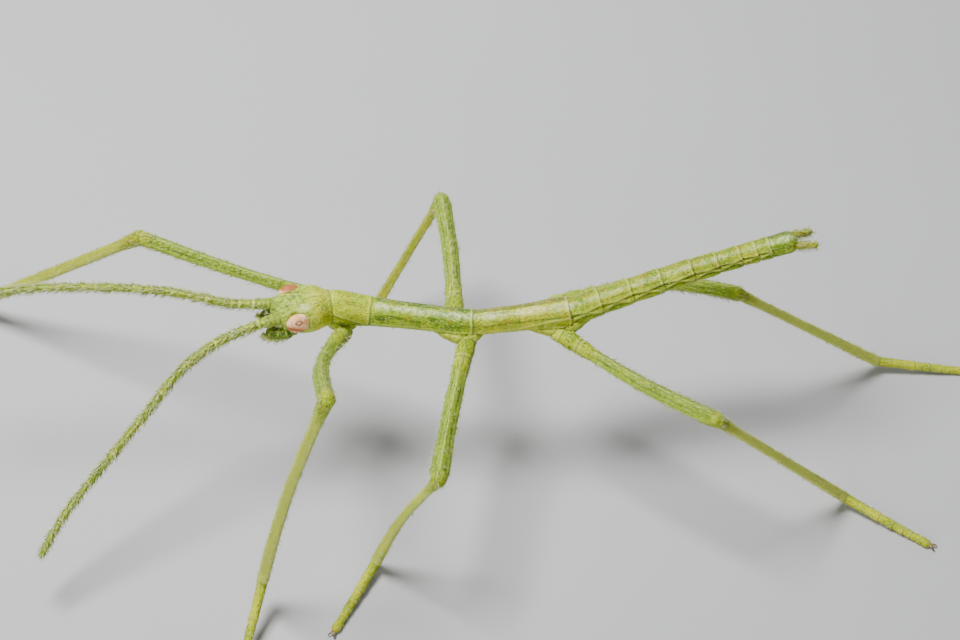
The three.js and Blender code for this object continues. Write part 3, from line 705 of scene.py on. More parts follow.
def add_feeler(mark, seat, bearings, rises):
    """One feeler with its joints. The thick first joint is the scape."""
    at = places_between(-0.25, FEELER_LENGTH, 0.1, tight=FEELER_JOINTS)
    knots = np.linspace(0, FEELER_LENGTH, len(bearings))
    path = walk(seat, at, np.interp(at, knots, bearings), np.interp(at, knots, rises))
    x = at[:, None]
    waist = humps(x, FEELER_JOINTS, 0.05, 0.06)
    rim = humps(x, FEELER_JOINTS, -0.09, 0.08)
    before_joint = humps(x, FEELER_JOINTS[2:], -0.2, 0.35)
    keel = np.cos(np.radians(ring_angles(FEELER_SIDES) * 5)) * ease(x, 0.3, 1.5)
    bands = np.cos(x * 2 * np.pi / SCAPE_BAND) * (1 - ease(x, 1.9, 2.8))
    radius = feeler_radius(at)
    relief = raised((0.02, rim), (-0.045, waist), (0.006, keel), (0.08, hump(x, 0.9, 0.9)), (0.007, bands))
    add_length(f"feeler_{mark}", path, at, radius, radius, relief,
               pale=painted((0.9, rim), (0.25, keel > 0.4), (0.16, bands)),
               deep=painted((0.6, waist), (0.3, keel < -0.4), (-0.16, bands)),
               warm=0.25 + 0.25 * before_joint, feeler=1.0, sheen=0.04)


for side, mark in SIDES:
    add_feeler(mark, on_head(FEELER_SEAT[0], side * FEELER_SEAT[1], FEELER_SEAT[2]), *FEELER_WAYS[mark])
print("feeler joints:", len(FEELER_JOINTS) + 1)

# %% Tail feelers
CERCUS = {"length": 1.65, "sunk": 0.3, "out": 0.42, "up": 0.1, "spread": 8.0, "droop": 20.0, "trim": 0.03}
CERCUS_TABLE = [[0, 0.24], [0.25, 0.27], [0.7, 0.26], [0.9, 0.22], [1, 0.16]]
tail_along, tail_across, tail_up = axes(*TAIL_WAY)
tail = point_on(trunk_path[0], trunk_at, TAIL_AT - 0.05)
for side, mark in SIDES:
    root = (tail - CERCUS["sunk"] * tail_along + side * CERCUS["out"] * tail_across
            + CERCUS["up"] * tail_up)
    level, _, _ = axes(side * CERCUS["spread"], -CERCUS["droop"])
    way = level[0] * tail_along + level[1] * tail_across + level[2] * tail_up
    tip = root + (CERCUS["length"] + CERCUS["sunk"] - CERCUS["trim"]) * way
    add_tube(f"cercus_{mark}", [root, tip], 0.04, CERCUS_TABLE, 24,
             lambda x, angle: 0.008 * np.cos(x * 2 * np.pi / 0.22) + 0.006 * np.cos(np.radians(angle * 6)),
             brown=0.7, warm=0.6, pale=0.2)
print("tail feelers: 2, from the tail at", tail.round(2).tolist())

# %% [markdown]
# ## Legs
# Each leg is a hip piece, a long thigh, a long shin and a five-jointed foot. Thigh and shin
# are four-sided, with a thin pale keel along each edge, and they meet in a knee that is a
# little thicker than both. All six legs come from a few functions and one table of
# directions, so a left and a right leg have the same lengths.

# %% Leg measures
# Lengths of each pair, how far its hips stand out from the trunk's line and below it, and
# where on that line they are, from the waist.
LEGS = {
    "front": {"femur": 15.7, "tibia": 19.8, "tarsus": 7.0,
              "out": 1.35, "down": 1.35, "way": FORE_WAY, "hip": -9.2},
    "middle": {"femur": 11.55, "tibia": 11.9, "tarsus": 6.2,
               "out": 1.4, "down": 0.95, "way": FORE_WAY, "hip": -0.75},
    "hind": {"femur": 12.9, "tibia": 15.4, "tarsus": 7.2,
             "out": 1.5, "down": 0.9, "way": HIND_WAY, "hip": 6.55},
}
# Name, pair, side, how far forward the hip stands, then the bearing and rise of thigh and shin,
# the foot's bearing, and how far thigh and shin bend to their right and up in the middle.
STANCE = [
    ("left_front", "front", -1, 0.15, (-91.3, 38.4), (-153.8, -72.5), -105, (-0.9, 0), (-0.1, 0.38)),
    ("right_front", "front", 1, 0, (164.1, 8.3), (165.2, -41.6), 172, (0, -0.38), (0, 0)),
    ("left_middle", "middle", -1, -0.3, (-99.5, -0.8), (-179.9, -66.9), -118, (-0.12, 0), (-0.2, 0.34)),
    ("right_middle", "middle", 1, 0.6, (95.4, -5.9), (211.7, -57.2), 180, (-0.23, 0), (0, 0)),
    ("left_hind", "hind", -1, 0, (-34.6, 0.4), (6, -48.8), -32, (-0.28, -0.12), (0, 0)),
    ("right_hind", "hind", 1, 0, (7.2, -4.9), (6.3, -41.9), -4, (0.6, 0.95), (0, 0)),
]
LEG_SIDES = 40


def from_keel(angle):
    """Degrees round a leg from the nearest of its four keels: top, bottom and both sides."""
    return (angle + 45) % 90 - 45


def keels(angle, width):
    """Four thin edges along a leg."""
    return hump(from_keel(angle), 0, width)


def bent(start, at, length, way, bow):
    """A straight path whose middle stands off the line by the bow, to its right and up."""
    centres, across, up = walk(start, at, *way)
    bend = np.sin(np.pi * np.clip(at / length, 0, 1))[:, None]
    return centres + bend * (bow[0] * across + bow[1] * up), across, up


print("legs:", [name for name, *_ in STANCE])

# %% [markdown]
# A hip has two parts: a soft arm that leaves the thorax, and a hard collar that holds the
# thigh. In front of the arm and behind it the flank bulges. Each bulge is one more short
# tube, which starts inside the trunk and ends at the hip, so that the crease between them
# comes by itself when all the tubes are joined.

# %% Hips
ARM_TABLE = [[0, 0.7], [0.6, 0.62], [1, 0.54]]
HIP_COLLAR_TABLE = [[0, 0.42], [0.2, 0.59], [0.5, 0.65], [0.8, 0.64], [0.94, 0.66], [1, 0.6]]
# An arm starts a little in front of its hip, by this offset.
ARM_START = np.array([-0.6, 0.0, 0.0])
# The share of the way from the trunk's line at which it starts, and how far short it ends.
ARM_SHARE, ARM_SHORT = 0.1, 0.5
# The collar's two ends, from the hip along the thigh.
HIP_COLLAR_REACH = (-0.98, 0.06)


def add_hip(name, line_point, hip, thigh_way):
    """The arm that leaves the thorax, and the collar that holds the thigh."""
    along, _, _ = axes(*thigh_way)
    start = line_point + ARM_SHARE * (hip - line_point) + ARM_START
    add_tube(f"hip_arm_{name}", [start, hip - ARM_SHORT * along], 0.05, ARM_TABLE, 32,
             lambda x, angle: 0.02 * np.cos(np.radians(angle * 3)) + 0 * x, pale=0.3, warm=0.6, leg=0.5)
    ends = [hip + reach * along for reach in HIP_COLLAR_REACH]
    add_tube(f"hip_collar_{name}", ends, 0.04, HIP_COLLAR_TABLE, 36,
             lambda x, angle: 0.015 * np.cos(np.radians(angle * 4)) - 0.03 * hump(x, 0.7, 0.08),
             pale=0.38, warm=0.6, leg=0.6)


# Each bulge of the flank: how far behind the hip it starts on the trunk, and its radius.
LOBES = {
    "front": [(-1.75, 0.5), (1.1, 0.44)],
    "middle": [(-2.1, 0.5), (1.5, 0.46)],
    "hind": [(-2.9, 0.44), (0.6, 0.5), (2.0, 0.42)],
}
LOBE_START = {"out": 0.5, "down": 0.42}
LOBE_END_SHARE = 0.8
# Beside this hip the flank stays smooth, because its thigh points forward along the neck.
SMOOTH_HIP = "right_front"


def lobe_folds(x, angle):
    """Wrinkles across a bulge and along it."""
    return 0.02 * np.cos(x * 2 * np.pi / 0.8 + angle / 40) + 0.02 * np.cos(np.radians(angle * 5))


def add_side_lobes(name, pair, line_point, hip_at, side, hip):
    """The soft bulges of the flank in front of a hip and behind it."""
    end = line_point + LOBE_END_SHARE * (hip - line_point)
    for reach, thick in LOBES[pair]:
        centre, across, up = [point_on(points, trunk_at, hip_at + reach) for points in trunk_path]
        start = centre + side * LOBE_START["out"] * across - LOBE_START["down"] * up
        add_tube(f"side_lobe_{name}", [start, end], 0.05, [[0, 0.2], [0.5, thick], [0.8, 0.5], [1, 0.3]], 28,
                 lobe_folds, pale=0.3, deep=0.2, warm=0.6)


print("bulges of one flank:", sum(len(pair) for pair in LOBES.values()))

# %% [markdown]
# A thigh and a shin are made alike. The tube stays round at its ends and is four-sided
# between them, where it is called the blade: the flats sink, the keels stand up, and a
# second fine line runs beside each keel.

# %% Thighs
# Each row is a share of the length and the radius there.
FEMUR_TABLES = {
    "front": [[0, 0.6], [0.03, 0.68], [0.07, 0.58], [0.12, 0.62], [0.22, 0.53], [0.45, 0.47], [0.6, 0.52],
              [0.75, 0.56], [0.88, 0.58], [0.955, 0.6], [1.0, 0.53]],
    "middle": [[0, 0.64], [0.05, 0.72], [0.12, 0.6], [0.16, 0.63], [0.27, 0.55], [0.4, 0.59], [0.6, 0.59],
               [0.82, 0.62], [0.94, 0.69], [1.0, 0.58]],
    "hind": [[0, 0.64], [0.04, 0.7], [0.11, 0.57], [0.14, 0.6], [0.2, 0.5], [0.4, 0.55], [0.6, 0.59],
             [0.75, 0.64], [0.88, 0.65], [0.95, 0.68], [1.0, 0.57]],
}
# The trochanter is the short ring near the root that the thigh breaks off at.
TROCHANTER_SHARE = {"front": 0.07, "middle": 0.12, "hind": 0.11}


def add_thigh(name, pair, hip, way, length, bow):
    """One thigh, from inside its collar to just past the knee."""
    ring_at = TROCHANTER_SHARE[pair] * length
    at = places_between(-0.25, length + 0.42, 0.11, tight=[ring_at, 2 * ring_at])
    x, angle = at[:, None], ring_angles(LEG_SIDES)[None, :]
    share = x / length
    radius, = profile(FEMUR_TABLES[pair], at / length, 0.012)
    radius = skin_radius(radius, rounded(at, 0.25, 0.5))
    blade = span(share, 0.16, 0.26, 0.93, 0.99)
    edge = keels(angle, 6) * blade
    side_keel = edge * (0.6 + 0.4 * np.cos(np.radians(angle)) ** 2)
    second_line = hump(from_keel(angle), 22, 5) * blade
    flats = np.sin(np.radians(2 * angle)) ** 2 * blade * radius / 0.5
    stripes = np.clip(np.cos(np.radians(angle * 8)), 0, 1) * blade * (1 - edge)
    ring_line = hump(x, ring_at, 0.05) + 0.6 * hump(x, 1.75 * ring_at, 0.05)
    ring_rim = humps(x, [ring_at - 0.13, ring_at + 0.13], 0, 0.09)
    ripple = np.sin(x * 6 + angle / 20) * (1 - blade)
    knee = ease(share, 0.93, 0.99)
    relief = raised((0.03, edge), (-0.075, flats), (-0.045, ring_line), (0.02, ring_rim), (0.006, ripple))
    add_length(f"thigh_{name}", bent(hip, at, length, way, bow), at, radius, radius, relief, leg=1.0,
               pale=painted((0.9, side_keel), (0.2, second_line), (0.5, ring_rim),
                            (0.2, hump(share, 0.985, 0.012))),
               deep=painted((0.5, ring_line), (0.85, stripes)), warm=painted((1, 0.14), (0.3, 1 - blade)),
               brown=0.32 * knee * hump(angle, 90, 60), sheen=0.06 * blade)


print("thigh lengths in mm:", {pair: leg["femur"] for pair, leg in LEGS.items()})

# %% Shins
TIBIA_TABLES = {
    "front": [[0, 0.62], [0.03, 0.58], [0.08, 0.5], [0.14, 0.46], [0.5, 0.46], [0.9, 0.49], [1.0, 0.46]],
    "middle": [[0, 0.54], [0.04, 0.47], [0.12, 0.38], [0.45, 0.36], [0.7, 0.39], [0.9, 0.45], [1.0, 0.43]],
    "hind": [[0, 0.53], [0.03, 0.46], [0.15, 0.4], [0.4, 0.39], [0.7, 0.43], [0.92, 0.47], [1.0, 0.44]],
}
# How pale the shins are: partly their own pale yellow, and partly painted light on steep
# shins that the key light hardly reaches. Two of the right side's are painted browner and
# less pale, as painted shade.
SHIN_PALE = {"front": 0.62, "middle": 0.5, "hind": 0.9}
SHADED_SHINS = ("right_front", "right_middle")
SHADE_LOSS, SHADE_BROWN = 0.4, 0.42


def add_shin(name, pair, knee, way, length, bow):
    """One shin, from inside the knee to the ankle."""
    at = places_between(-0.3, length + 0.28, 0.11)
    x, angle = at[:, None], ring_angles(LEG_SIDES)[None, :]
    share = x / length
    radius, = profile(TIBIA_TABLES[pair], at / length, 0.012)
    radius = skin_radius(radius, rounded(at, 0.3, 0.32))
    blade = span(share, 0.06, 0.14, 0.95, 0.99)
    edge = keels(angle, 8) * blade
    second_line = hump(from_keel(angle), 24, 6) * blade
    flats = np.sin(np.radians(2 * angle)) ** 2 * blade * radius / 0.4
    root_line = hump(share, 0.045, 0.006)
    # The shins in this list are painted darker and browner, as painted shade.
    painted_dark = name in SHADED_SHINS
    relief = raised((0.02, edge), (-0.05, flats), (-0.03, root_line))
    add_length(f"shin_{name}", bent(knee, at, length, way, bow), at, radius, radius, relief, leg=1.0,
               pale=painted((SHIN_PALE[pair] - SHADE_LOSS * painted_dark, ease(share, 0.0, 0.16)), (0.3, edge),
                            (0.2, second_line), (0.4, hump(share, 0.97, 0.02))),
               deep=painted((0.5, root_line), (0.3, second_line * (1 - share))),
               warm=painted((1, 0.5), (0.3, share)),
               brown=raised((SHADE_BROWN, painted_dark), (0.3, hump(share, 0.03, 0.02)),
                            (0.2, hump(share, 1.0, 0.03))))


print("shin lengths in mm:", {pair: leg["tibia"] for pair, leg in LEGS.items()})

# %% [markdown]
# A foot leaves the ankle in the air and comes down to lie flat on its sole. Its height falls
# by a power of the way that is left, which is steep at first and level at the end. Whatever
# would still reach below the floor is pressed flat on it.

# %% Feet
SOLE_HEIGHT = 0.22
FOOT_DROOP = 1.35
FOOT_SIDES = 32
# Where the joints are, as shares of the foot's length.
TOE_JOINTS = [0.42, 0.58, 0.7, 0.79]
# Each row is a share of the length, the half width and the half height.
TOE_TABLE = [[0, 0.38, 0.36], [0.3, 0.34, 0.32], [0.4, 0.37, 0.34], [0.44, 0.31, 0.3], [0.56, 0.35, 0.32],
             [0.6, 0.3, 0.29], [0.68, 0.34, 0.31], [0.72, 0.29, 0.28], [0.78, 0.32, 0.29], [0.82, 0.28, 0.27],
             [0.93, 0.35, 0.28], [1.0, 0.29, 0.22]]
UNDERSIDE = 270


def foot_path(ankle, bearing, length, at):
    """A foot droops from the ankle and flattens out on its sole."""
    run = math.sqrt(length ** 2 - (ankle[2] - SOLE_HEIGHT) ** 2)
    share = np.clip(at / length, 0, 1)
    heights = SOLE_HEIGHT + (ankle[2] - SOLE_HEIGHT) * (1 - share) ** FOOT_DROOP
    along, across, up = axes(bearing, 0.0)
    centres = np.array([ankle[0], ankle[1], 0.0]) + (at / length * run)[:, None] * along
    centres[:, 2] = heights
    return centres, across + 0 * centres, up + 0 * centres


def add_foot(name, ankle, bearing, length):
    """One foot with its joints and the soft pads under them."""
    at = places_between(-0.2, length, 0.09, tight=np.array(TOE_JOINTS) * length)
    x, angle = at[:, None], ring_angles(FOOT_SIDES)[None, :]
    share = x / length
    wide, high = profile(TOE_TABLE, at / length, 0.01)
    ends = rounded(at, 0.2, 0.35)
    joint = humps(share, TOE_JOINTS, 0, 0.007)
    joint_rim = humps(share, TOE_JOINTS, -0.015, 0.01)
    pad = humps(share, TOE_JOINTS, -0.02, 0.02) * hump(angle, UNDERSIDE, 40)
    worn_sole = hump(angle, UNDERSIDE, 50) * ease(share, 0.3, 0.6)
    points = add_length(f"foot_{name}", foot_path(ankle, bearing, length, at), at, (wide * ends)[:, None],
                        (high * ends)[:, None], raised((-0.035, joint), (0.03, pad)), leg=1.0, warm=0.8,
                        pale=painted((0.35, joint_rim), (0.25, pad)), deep=0.4 * joint,
                        brown=painted((0.55, worn_sole), (0.3, ease(share, 0.85, 1.0))))
    points[..., 2] = np.maximum(points[..., 2], 0.0)


print("foot joints:", len(TOE_JOINTS) + 1)

# %% Six legs
claw_seats = []
for name, pair, side, forward, thigh_way, shin_way, foot_bearing, thigh_bow, shin_bow in STANCE:
    leg = LEGS[pair]
    line_point = WAIST + leg["hip"] * axes(*leg["way"])[0]
    hip = line_point + np.array([-forward, side * leg["out"], -leg["down"]])
    knee = hip + leg["femur"] * axes(*thigh_way)[0]
    ankle = knee + leg["tibia"] * axes(*shin_way)[0]
    add_hip(name, line_point, hip, thigh_way)
    if name != SMOOTH_HIP:
        add_side_lobes(name, pair, line_point, WAIST_AT + leg["hip"], side, hip)
    add_thigh(name, pair, hip, thigh_way, leg["femur"], thigh_bow)
    add_shin(name, pair, knee, shin_way, leg["tibia"], shin_bow)
    add_foot(name, ankle, foot_bearing, leg["tarsus"])
    toe = foot_path(ankle, foot_bearing, leg["tarsus"], np.array([leg["tarsus"]]))[0][0]
    claw_seats.append((name, toe, foot_bearing))
    print(name, "knee height", round(float(knee[2]), 2), "ankle height", round(float(ankle[2]), 2))

# %% [markdown]
# ## One skin
# All the tubes run into each other at the joints. Left as they are, their hidden ends would
# stay inside the body; a boolean union keeps only the outer surface and welds it into one
# closed mesh. It is worked out in millimetres, because very small faces are safer that way,
# and the marks travel along with the points.

# %% Meshes from rings
def ring_faces(rings, sides):
    """Quads between rings, and one flat face at each end."""
    row = np.arange(rings - 1)[:, None] * sides
    here = np.arange(sides)[None, :]
    following = (here + 1) % sides
    quads = np.stack([row + here, row + following, row + sides + following, row + sides + here], -1)
    faces = quads.reshape(-1, 4).tolist()
    last = (rings - 1) * sides
    return faces + [list(range(sides))[::-1], list(range(last, last + sides))]


def mesh_object(name, points, faces, scale=1.0):
    """A new mesh object in the scene, with smooth faces."""
    mesh = bpy.data.meshes.new(name)
    mesh.from_pydata((np.asarray(points).reshape(-1, 3) * scale).tolist(), [], faces)
    mesh.polygons.foreach_set("use_smooth", [True] * len(mesh.polygons))
    mesh.update()
    made = bpy.data.objects.new(name, mesh)
    bpy.context.scene.collection.objects.link(made)
    return made


def store(mesh, name, values, kind="FLOAT"):
    """Keeps one number, or one vector, at each point of a mesh."""
    layer = mesh.attributes.new(name, kind, "POINT")
    field = "vector" if kind == "FLOAT_VECTOR" else "value"
    layer.data.foreach_set(field, np.asarray(values, dtype=np.float32).ravel())


def length_object(part):
    """A length of skin as a mesh that carries its marks and its lie."""
    rings, sides, _ = part["points"].shape
    made = mesh_object(part["name"], part["points"], ring_faces(rings, sides))
    for mark in MARKS:
        store(made.data, mark, part["marks"][mark])
    store(made.data, "lie", part["lie"], "FLOAT_VECTOR")
    return made


print("lengths of skin:", len(lengths))

# %% Join the lengths
skin = length_object(lengths[0])
others = bpy.data.collections.new("lengths")
bpy.context.scene.collection.children.link(others)
for part in lengths[1:]:
    made = length_object(part)
    bpy.context.scene.collection.objects.unlink(made)
    others.objects.link(made)
union = skin.modifiers.new("union", "BOOLEAN")
union.operation = "UNION"
union.operand_type = "COLLECTION"
union.collection = others
union.solver = "MANIFOLD"
joined = bpy.data.meshes.new_from_object(skin.evaluated_get(bpy.context.evaluated_depsgraph_get()))
for made in [skin, *others.objects]:
    bpy.data.objects.remove(made)
bpy.data.collections.remove(others)

joined.transform(Matrix.Scale(MM, 4))
skin = bpy.data.objects.new("skin", joined)
bpy.context.scene.collection.objects.link(skin)
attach(skin, "root")
flesh = [node for node in frame["nodes"] if not node.startswith("eye_")]
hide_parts(*flesh)
print("skin points:", len(joined.vertices), "faces:", len(joined.polygons))
print("solids it stands for:", len(flesh))

# %% [markdown]
# ## Eyes and claws
# The eyes and the claws are harder and drier than the skin, so they stay pieces of their own.
# An eye is a flat dome that sits in the seat pressed into the head. It is built from rings
# about its own outward axis, and each point keeps its distance from the eye's dark middle,
# so that the colour can follow rings about that middle.

# %% Eyes
EYE_RINGS = 40
EYE_SIDES = 72
# The dome is a little smaller than its solid, and the first ring stands this far off the pole.
EYE_FIT = 0.99
POLE_GAP = 0.02
# Directions on the dome as along, out and up: the dark middle, which is a painted
# pseudopupil, and the patch of each eye that is rust on the left eye and painted shade on
# the right one.
EYE_MIDDLE = (-0.1, 0.78, 0.62)
EYE_RUST_AND_SHADE = {"left": (-0.34, -0.42, -0.86), "right": (-0.05, 0.2, 0.7)}
head_turn = np.stack([head_along, head_across, head_up], axis=1)


def eye_dome(mark, side):
    """One eye. Its ring mark is 0 at the dark middle and 1 a quarter turn from it."""
    polar = np.linspace(POLE_GAP, math.pi - POLE_GAP, EYE_RINGS)[:, None]
    turn = np.radians(ring_angles(EYE_SIDES))[None, :] * side
    out = side * np.cos(polar) + 0 * turn
    ball = np.stack([np.sin(polar) * np.cos(turn), out, np.sin(polar) * np.sin(turn)], -1)
    toward_middle = ball @ (np.array(EYE_MIDDLE) * [1, side, 1])
    from_middle = np.degrees(np.arccos(np.clip(toward_middle, -1, 1))) / 90
    swell = EYE_FIT + 0.02 * hump(from_middle, 0.86, 0.05) - 0.015 * hump(from_middle, 0.74, 0.05)
    local = ball * np.array(EYE["radii"]) * swell[..., None]
    points = on_head(EYE["along"], side * EYE["out"], EYE["up"]) + local @ head_turn.T
    eye = mesh_object(f"eye_dome_{mark}", points[::-1], ring_faces(EYE_RINGS, EYE_SIDES), MM)
    store(eye.data, "ring", from_middle[::-1])
    store(eye.data, "rust_and_shade", (ball @ np.array(EYE_RUST_AND_SHADE[mark]))[::-1])
    store(eye.data, "lie", local[::-1], "FLOAT_VECTOR")
    return eye


eyes = []
for side, mark in SIDES:
    eye = eye_dome(mark, side)
    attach(eye, "root")
    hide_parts(f"eye_{mark}")
    eyes.append(eye)
print("eyes:", len(eyes), "each", EYE_RINGS * EYE_SIDES, "points")

# %% [markdown]
# Each foot ends in two hooked claws. A claw is a short tube that bends down to the floor and
# thins to a point, and all twelve are joined into one piece.

# %% Claws
# Corner points are out along the foot, to its side, and up from the floor.
CLAW_CORNERS = [(-0.12, 0.06, 0.27), (0.16, 0.13, 0.3), (0.34, 0.22, 0.23), (0.42, 0.26, 0.06)]
CLAW_TABLE = [[0, 0.09], [0.4, 0.075], [0.8, 0.04], [1, 0.02]]
ON_FLOOR = np.array([1, 1, 0])


def claw_tube(name, toe, bearing, side):
    """One hooked claw in front of a toe."""
    along, across, _ = axes(bearing, 0.0)
    corners = [toe * ON_FLOOR + out * along + side * wide * across + [0, 0, up]
               for out, wide, up in CLAW_CORNERS]
    return joined_tube(f"claw_{name}", corners, 0.03, CLAW_TABLE, 12, soft=0.08)


claws = [claw_tube(name, toe, bearing, side) for name, toe, bearing in claw_seats for side in (-1, 1)]
claw_points, claw_faces, claw_tips = [], [], []
for part in claws:
    rings, sides, _ = part["points"].shape
    start = sum(len(points) for points in claw_points)
    claw_points.append(part["points"].reshape(-1, 3))
    claw_faces += [[start + corner for corner in face] for face in ring_faces(rings, sides)]
    claw_tips.append(np.repeat(np.linspace(0, 1, rings), sides))
claw_piece = mesh_object("claws", np.vstack(claw_points), claw_faces, MM)
store(claw_piece.data, "tip", np.concatenate(claw_tips))
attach(claw_piece, "root")
print("claws:", len(claws))

# %% [markdown]
# ## How a finish is written
# A material is a tree of nodes, and a tree of forty nodes is hard to read. Here a finish is
# written as sums instead: one small class stands for an output of a node, and +, - and * on
# it add the node that does that sum. Colours are blended with Mix nodes, because a Math node
# would turn them grey.

# %% Sums on sockets
class Shade:
    """One output of a node, on which sums can be written."""

    def __init__(self, finish, socket):
        self.finish, self.socket = finish, socket

    def sum(self, operation, first, second):
        """A Math node for numbers, or a Vector Math node where a vector takes part."""
        if "VECTOR" in (self.socket.type, getattr(getattr(second, "socket", None), "type", "")):
            if operation == "MULTIPLY" and not hasattr(second, "__len__"):
                return self.finish.node("VectorMath", {"operation": "SCALE"}, {0: first, "Scale": second})
            return self.finish.node("VectorMath", {"operation": operation}, {0: first, 1: second})
        return self.finish.node("Math", {"operation": operation}, {0: first, 1: second})

    def __add__(self, other):
        return self.sum("ADD", self, other)

    def __sub__(self, other):
        return self.sum("SUBTRACT", self, other)

    def __mul__(self, other):
        return self.sum("MULTIPLY", self, other)

    def __rsub__(self, other):
        return self.sum("SUBTRACT", other, self)

    __radd__ = __add__
    __rmul__ = __mul__

    def rise(self, low, high):
        """0 below low, 1 above high."""
        return self.finish.node("MapRange", {"interpolation_type": "SMOOTHSTEP"},
                                {"Value": self, "From Min": low, "From Max": high})

    def band(self, start, full, fall, end):
        """Rises from start to full, stays at 1, and falls away from fall to end."""
        return self.rise(start, full) * (1 - self.rise(fall, end))


print("sums on sockets: + - *")

# %% A finish
class Finish:
    """A material, and the one method that adds nodes to it."""

    def __init__(self, name):
        self.material = bpy.data.materials.new(name)
        self.material.use_nodes = True
        self.tree = self.material.node_tree
        self.shader = self.tree.nodes["Principled BSDF"]

    def node(self, kind, settings=None, inputs=None, output=0):
        """Adds a node, sets it, feeds its sockets and gives one of its outputs."""
        made = self.tree.nodes.new("ShaderNode" + kind)
        for name, value in (settings or {}).items():
            setattr(made, name, value)
        for name, value in (inputs or {}).items():
            self.feed(made.inputs[name], value)
        return Shade(self, made.outputs[output])

    def feed(self, socket, value):
        """Links a shade to a socket, or sets a plain number or colour on it."""
        if isinstance(value, Shade):
            self.tree.links.new(value.socket, socket)
        elif socket.type == "RGBA" and len(value) == 3:
            socket.default_value = (*value, 1.0)
        else:
            socket.default_value = value

    def mark(self, name):
        """A number kept at each point of the mesh."""
        return self.node("Attribute", {"attribute_name": name}, output="Fac")

    def lie(self):
        """The place of each point on its own straightened limb, in millimetres."""
        return self.node("Attribute", {"attribute_name": "lie"}, output="Vector")

    def noise(self, place, scale, detail=3.0, roughness=0.55):
        """Soft clouds. A larger scale gives finer ones."""
        return self.node("TexNoise", {}, {"Vector": place, "Scale": scale, "Detail": detail,
                                          "Roughness": roughness})

    def blend(self, first, second, amount):
        """The second colour over the first, by an amount from 0 to 1."""
        mixer = self.tree.nodes.new("ShaderNodeMix")
        mixer.data_type = "RGBA"
        mixer.clamp_factor = True
        colours = [socket for socket in mixer.inputs if socket.type == "RGBA"]
        self.feed(mixer.inputs[0], amount)
        self.feed(colours[0], first)
        self.feed(colours[1], second)
        return Shade(self, next(socket for socket in mixer.outputs if socket.type == "RGBA"))

    def paint(self, base, *coats):
        """A base colour under coats, each a colour and how much of it lies where."""
        colour = base
        for coat, amount in coats:
            colour = self.blend(colour, coat, amount)
        return colour

    def raise_skin(self, height, depth):
        """A bump of the given depth in millimetres."""
        bump = self.node("Bump", {}, {"Height": height, "Distance": depth * MM})
        self.feed(self.shader.inputs["Normal"], bump)

    def set(self, **values):
        """Feeds sockets of the shader. Base_Color stands for Base Color."""
        for name, value in values.items():
            self.feed(self.shader.inputs[name.replace("_", " ")], value)

    def cover(self, *pieces):
        """Gives pieces this finish in place of any other."""
        for piece in pieces:
            piece.data.materials.clear()
            piece.data.materials.append(self.material)
        print(self.material.name, "nodes:", len(self.tree.nodes))


print("materials before the first finish:", len(bpy.data.materials))

# %% [markdown]
# ## The skin's finish
# Living green is never one green. The skin is a cloudy mix of two greens with fine streaks
# along each limb; over it come the deep, warm, brown and pale marks, each broken up by noise
# so that no edge looks ruled, and the deep marks carry the painted shade on the right of the
# back; last comes the silvery sheen of tiny grains, partly a real bloom and partly painted
# highlight, with painted highlight specks on the head.

# %% Skin colours
LEAF_GREEN = (0.14, 0.28, 0.003)
FRESH_GREEN = (0.45, 0.57, 0.006)
LIMB_GREEN = (0.17, 0.29, 0.002)
DEEP_GREEN = (0.03, 0.08, 0.003)
PALE_RIM = (0.64, 0.71, 0.12)
WARM_YELLOW = (0.58, 0.58, 0.004)
RUST_BROWN = (0.28, 0.18, 0.006)
SILVER = (0.82, 0.83, 0.6)
FEELER_GREEN = (0.15, 0.24, 0.015)
print("colours of the skin: 9")

# %% Skin patterns
f = Finish("skin_finish")
lie = f.lie()
streaks = f.noise(lie * (0.3, 4.0, 4.0), 1.5, 4.0, 0.6)
clouds = f.noise(lie, 0.6, 4.0)
mottle = f.noise(lie, 2.9, 5.0, 0.66)
flecks = f.noise(lie * (0.7, 1.0, 1.0), 8.0, 4.0, 0.6)
grain = f.noise(lie, 15.0, 2.0)
cells = f.node("TexVoronoi", {"feature": "F1"}, {"Vector": lie, "Scale": 6.0})
specks = 1 - cells.rise(0.12, 0.34)
print("patterns: 6, nodes so far:", len(f.tree.nodes))

# %% Skin finish
LIGHT_SCATTER = (0.6, 1.0, 0.25)
SCATTER_DEPTH = 0.35 * MM
SKIN_BUMP = 0.12

colour = f.blend(LEAF_GREEN, FRESH_GREEN, mottle.rise(0.38, 0.62) * 0.6 + clouds.rise(0.38, 0.62) * 0.4)
colour = f.paint(
    colour,
    (LIMB_GREEN, f.mark("leg") * 0.7),
    (FEELER_GREEN, f.mark("feeler") * 0.8),
    (WARM_YELLOW, f.mark("warm") * (0.35 + 0.65 * clouds.rise(0.3, 0.7))),
    (DEEP_GREEN, flecks.rise(0.53, 0.63) * 0.5 + streaks.rise(0.54, 0.64) * 0.45),
    (DEEP_GREEN, f.mark("deep") * (0.4 + 0.55 * streaks.rise(0.35, 0.6))),
    (RUST_BROWN, f.mark("brown") * mottle.rise(0.36, 0.6)),
    (PALE_RIM, f.mark("pale") * (0.5 + 0.5 * flecks.rise(0.35, 0.6))),
    (PALE_RIM, (1 - flecks.rise(0.35, 0.45)) * 0.5),
    # Silver specks on the head are painted highlights, as from tiny bumps.
    (SILVER, f.mark("head") * grain.rise(0.56, 0.66) * mottle.rise(0.42, 0.6) * 0.6),
    (RUST_BROWN, specks * grain.rise(0.5, 0.6) * (0.2 + 0.5 * clouds.rise(0.45, 0.65))),
    # The sheen mark paints silver: partly a real bloom, partly painted highlight.
    (SILVER, f.mark("sheen") * (0.1 + 0.9 * grain.rise(0.44, 0.58))
     * (0.3 + 0.7 * mottle.rise(0.42, 0.58))),
)
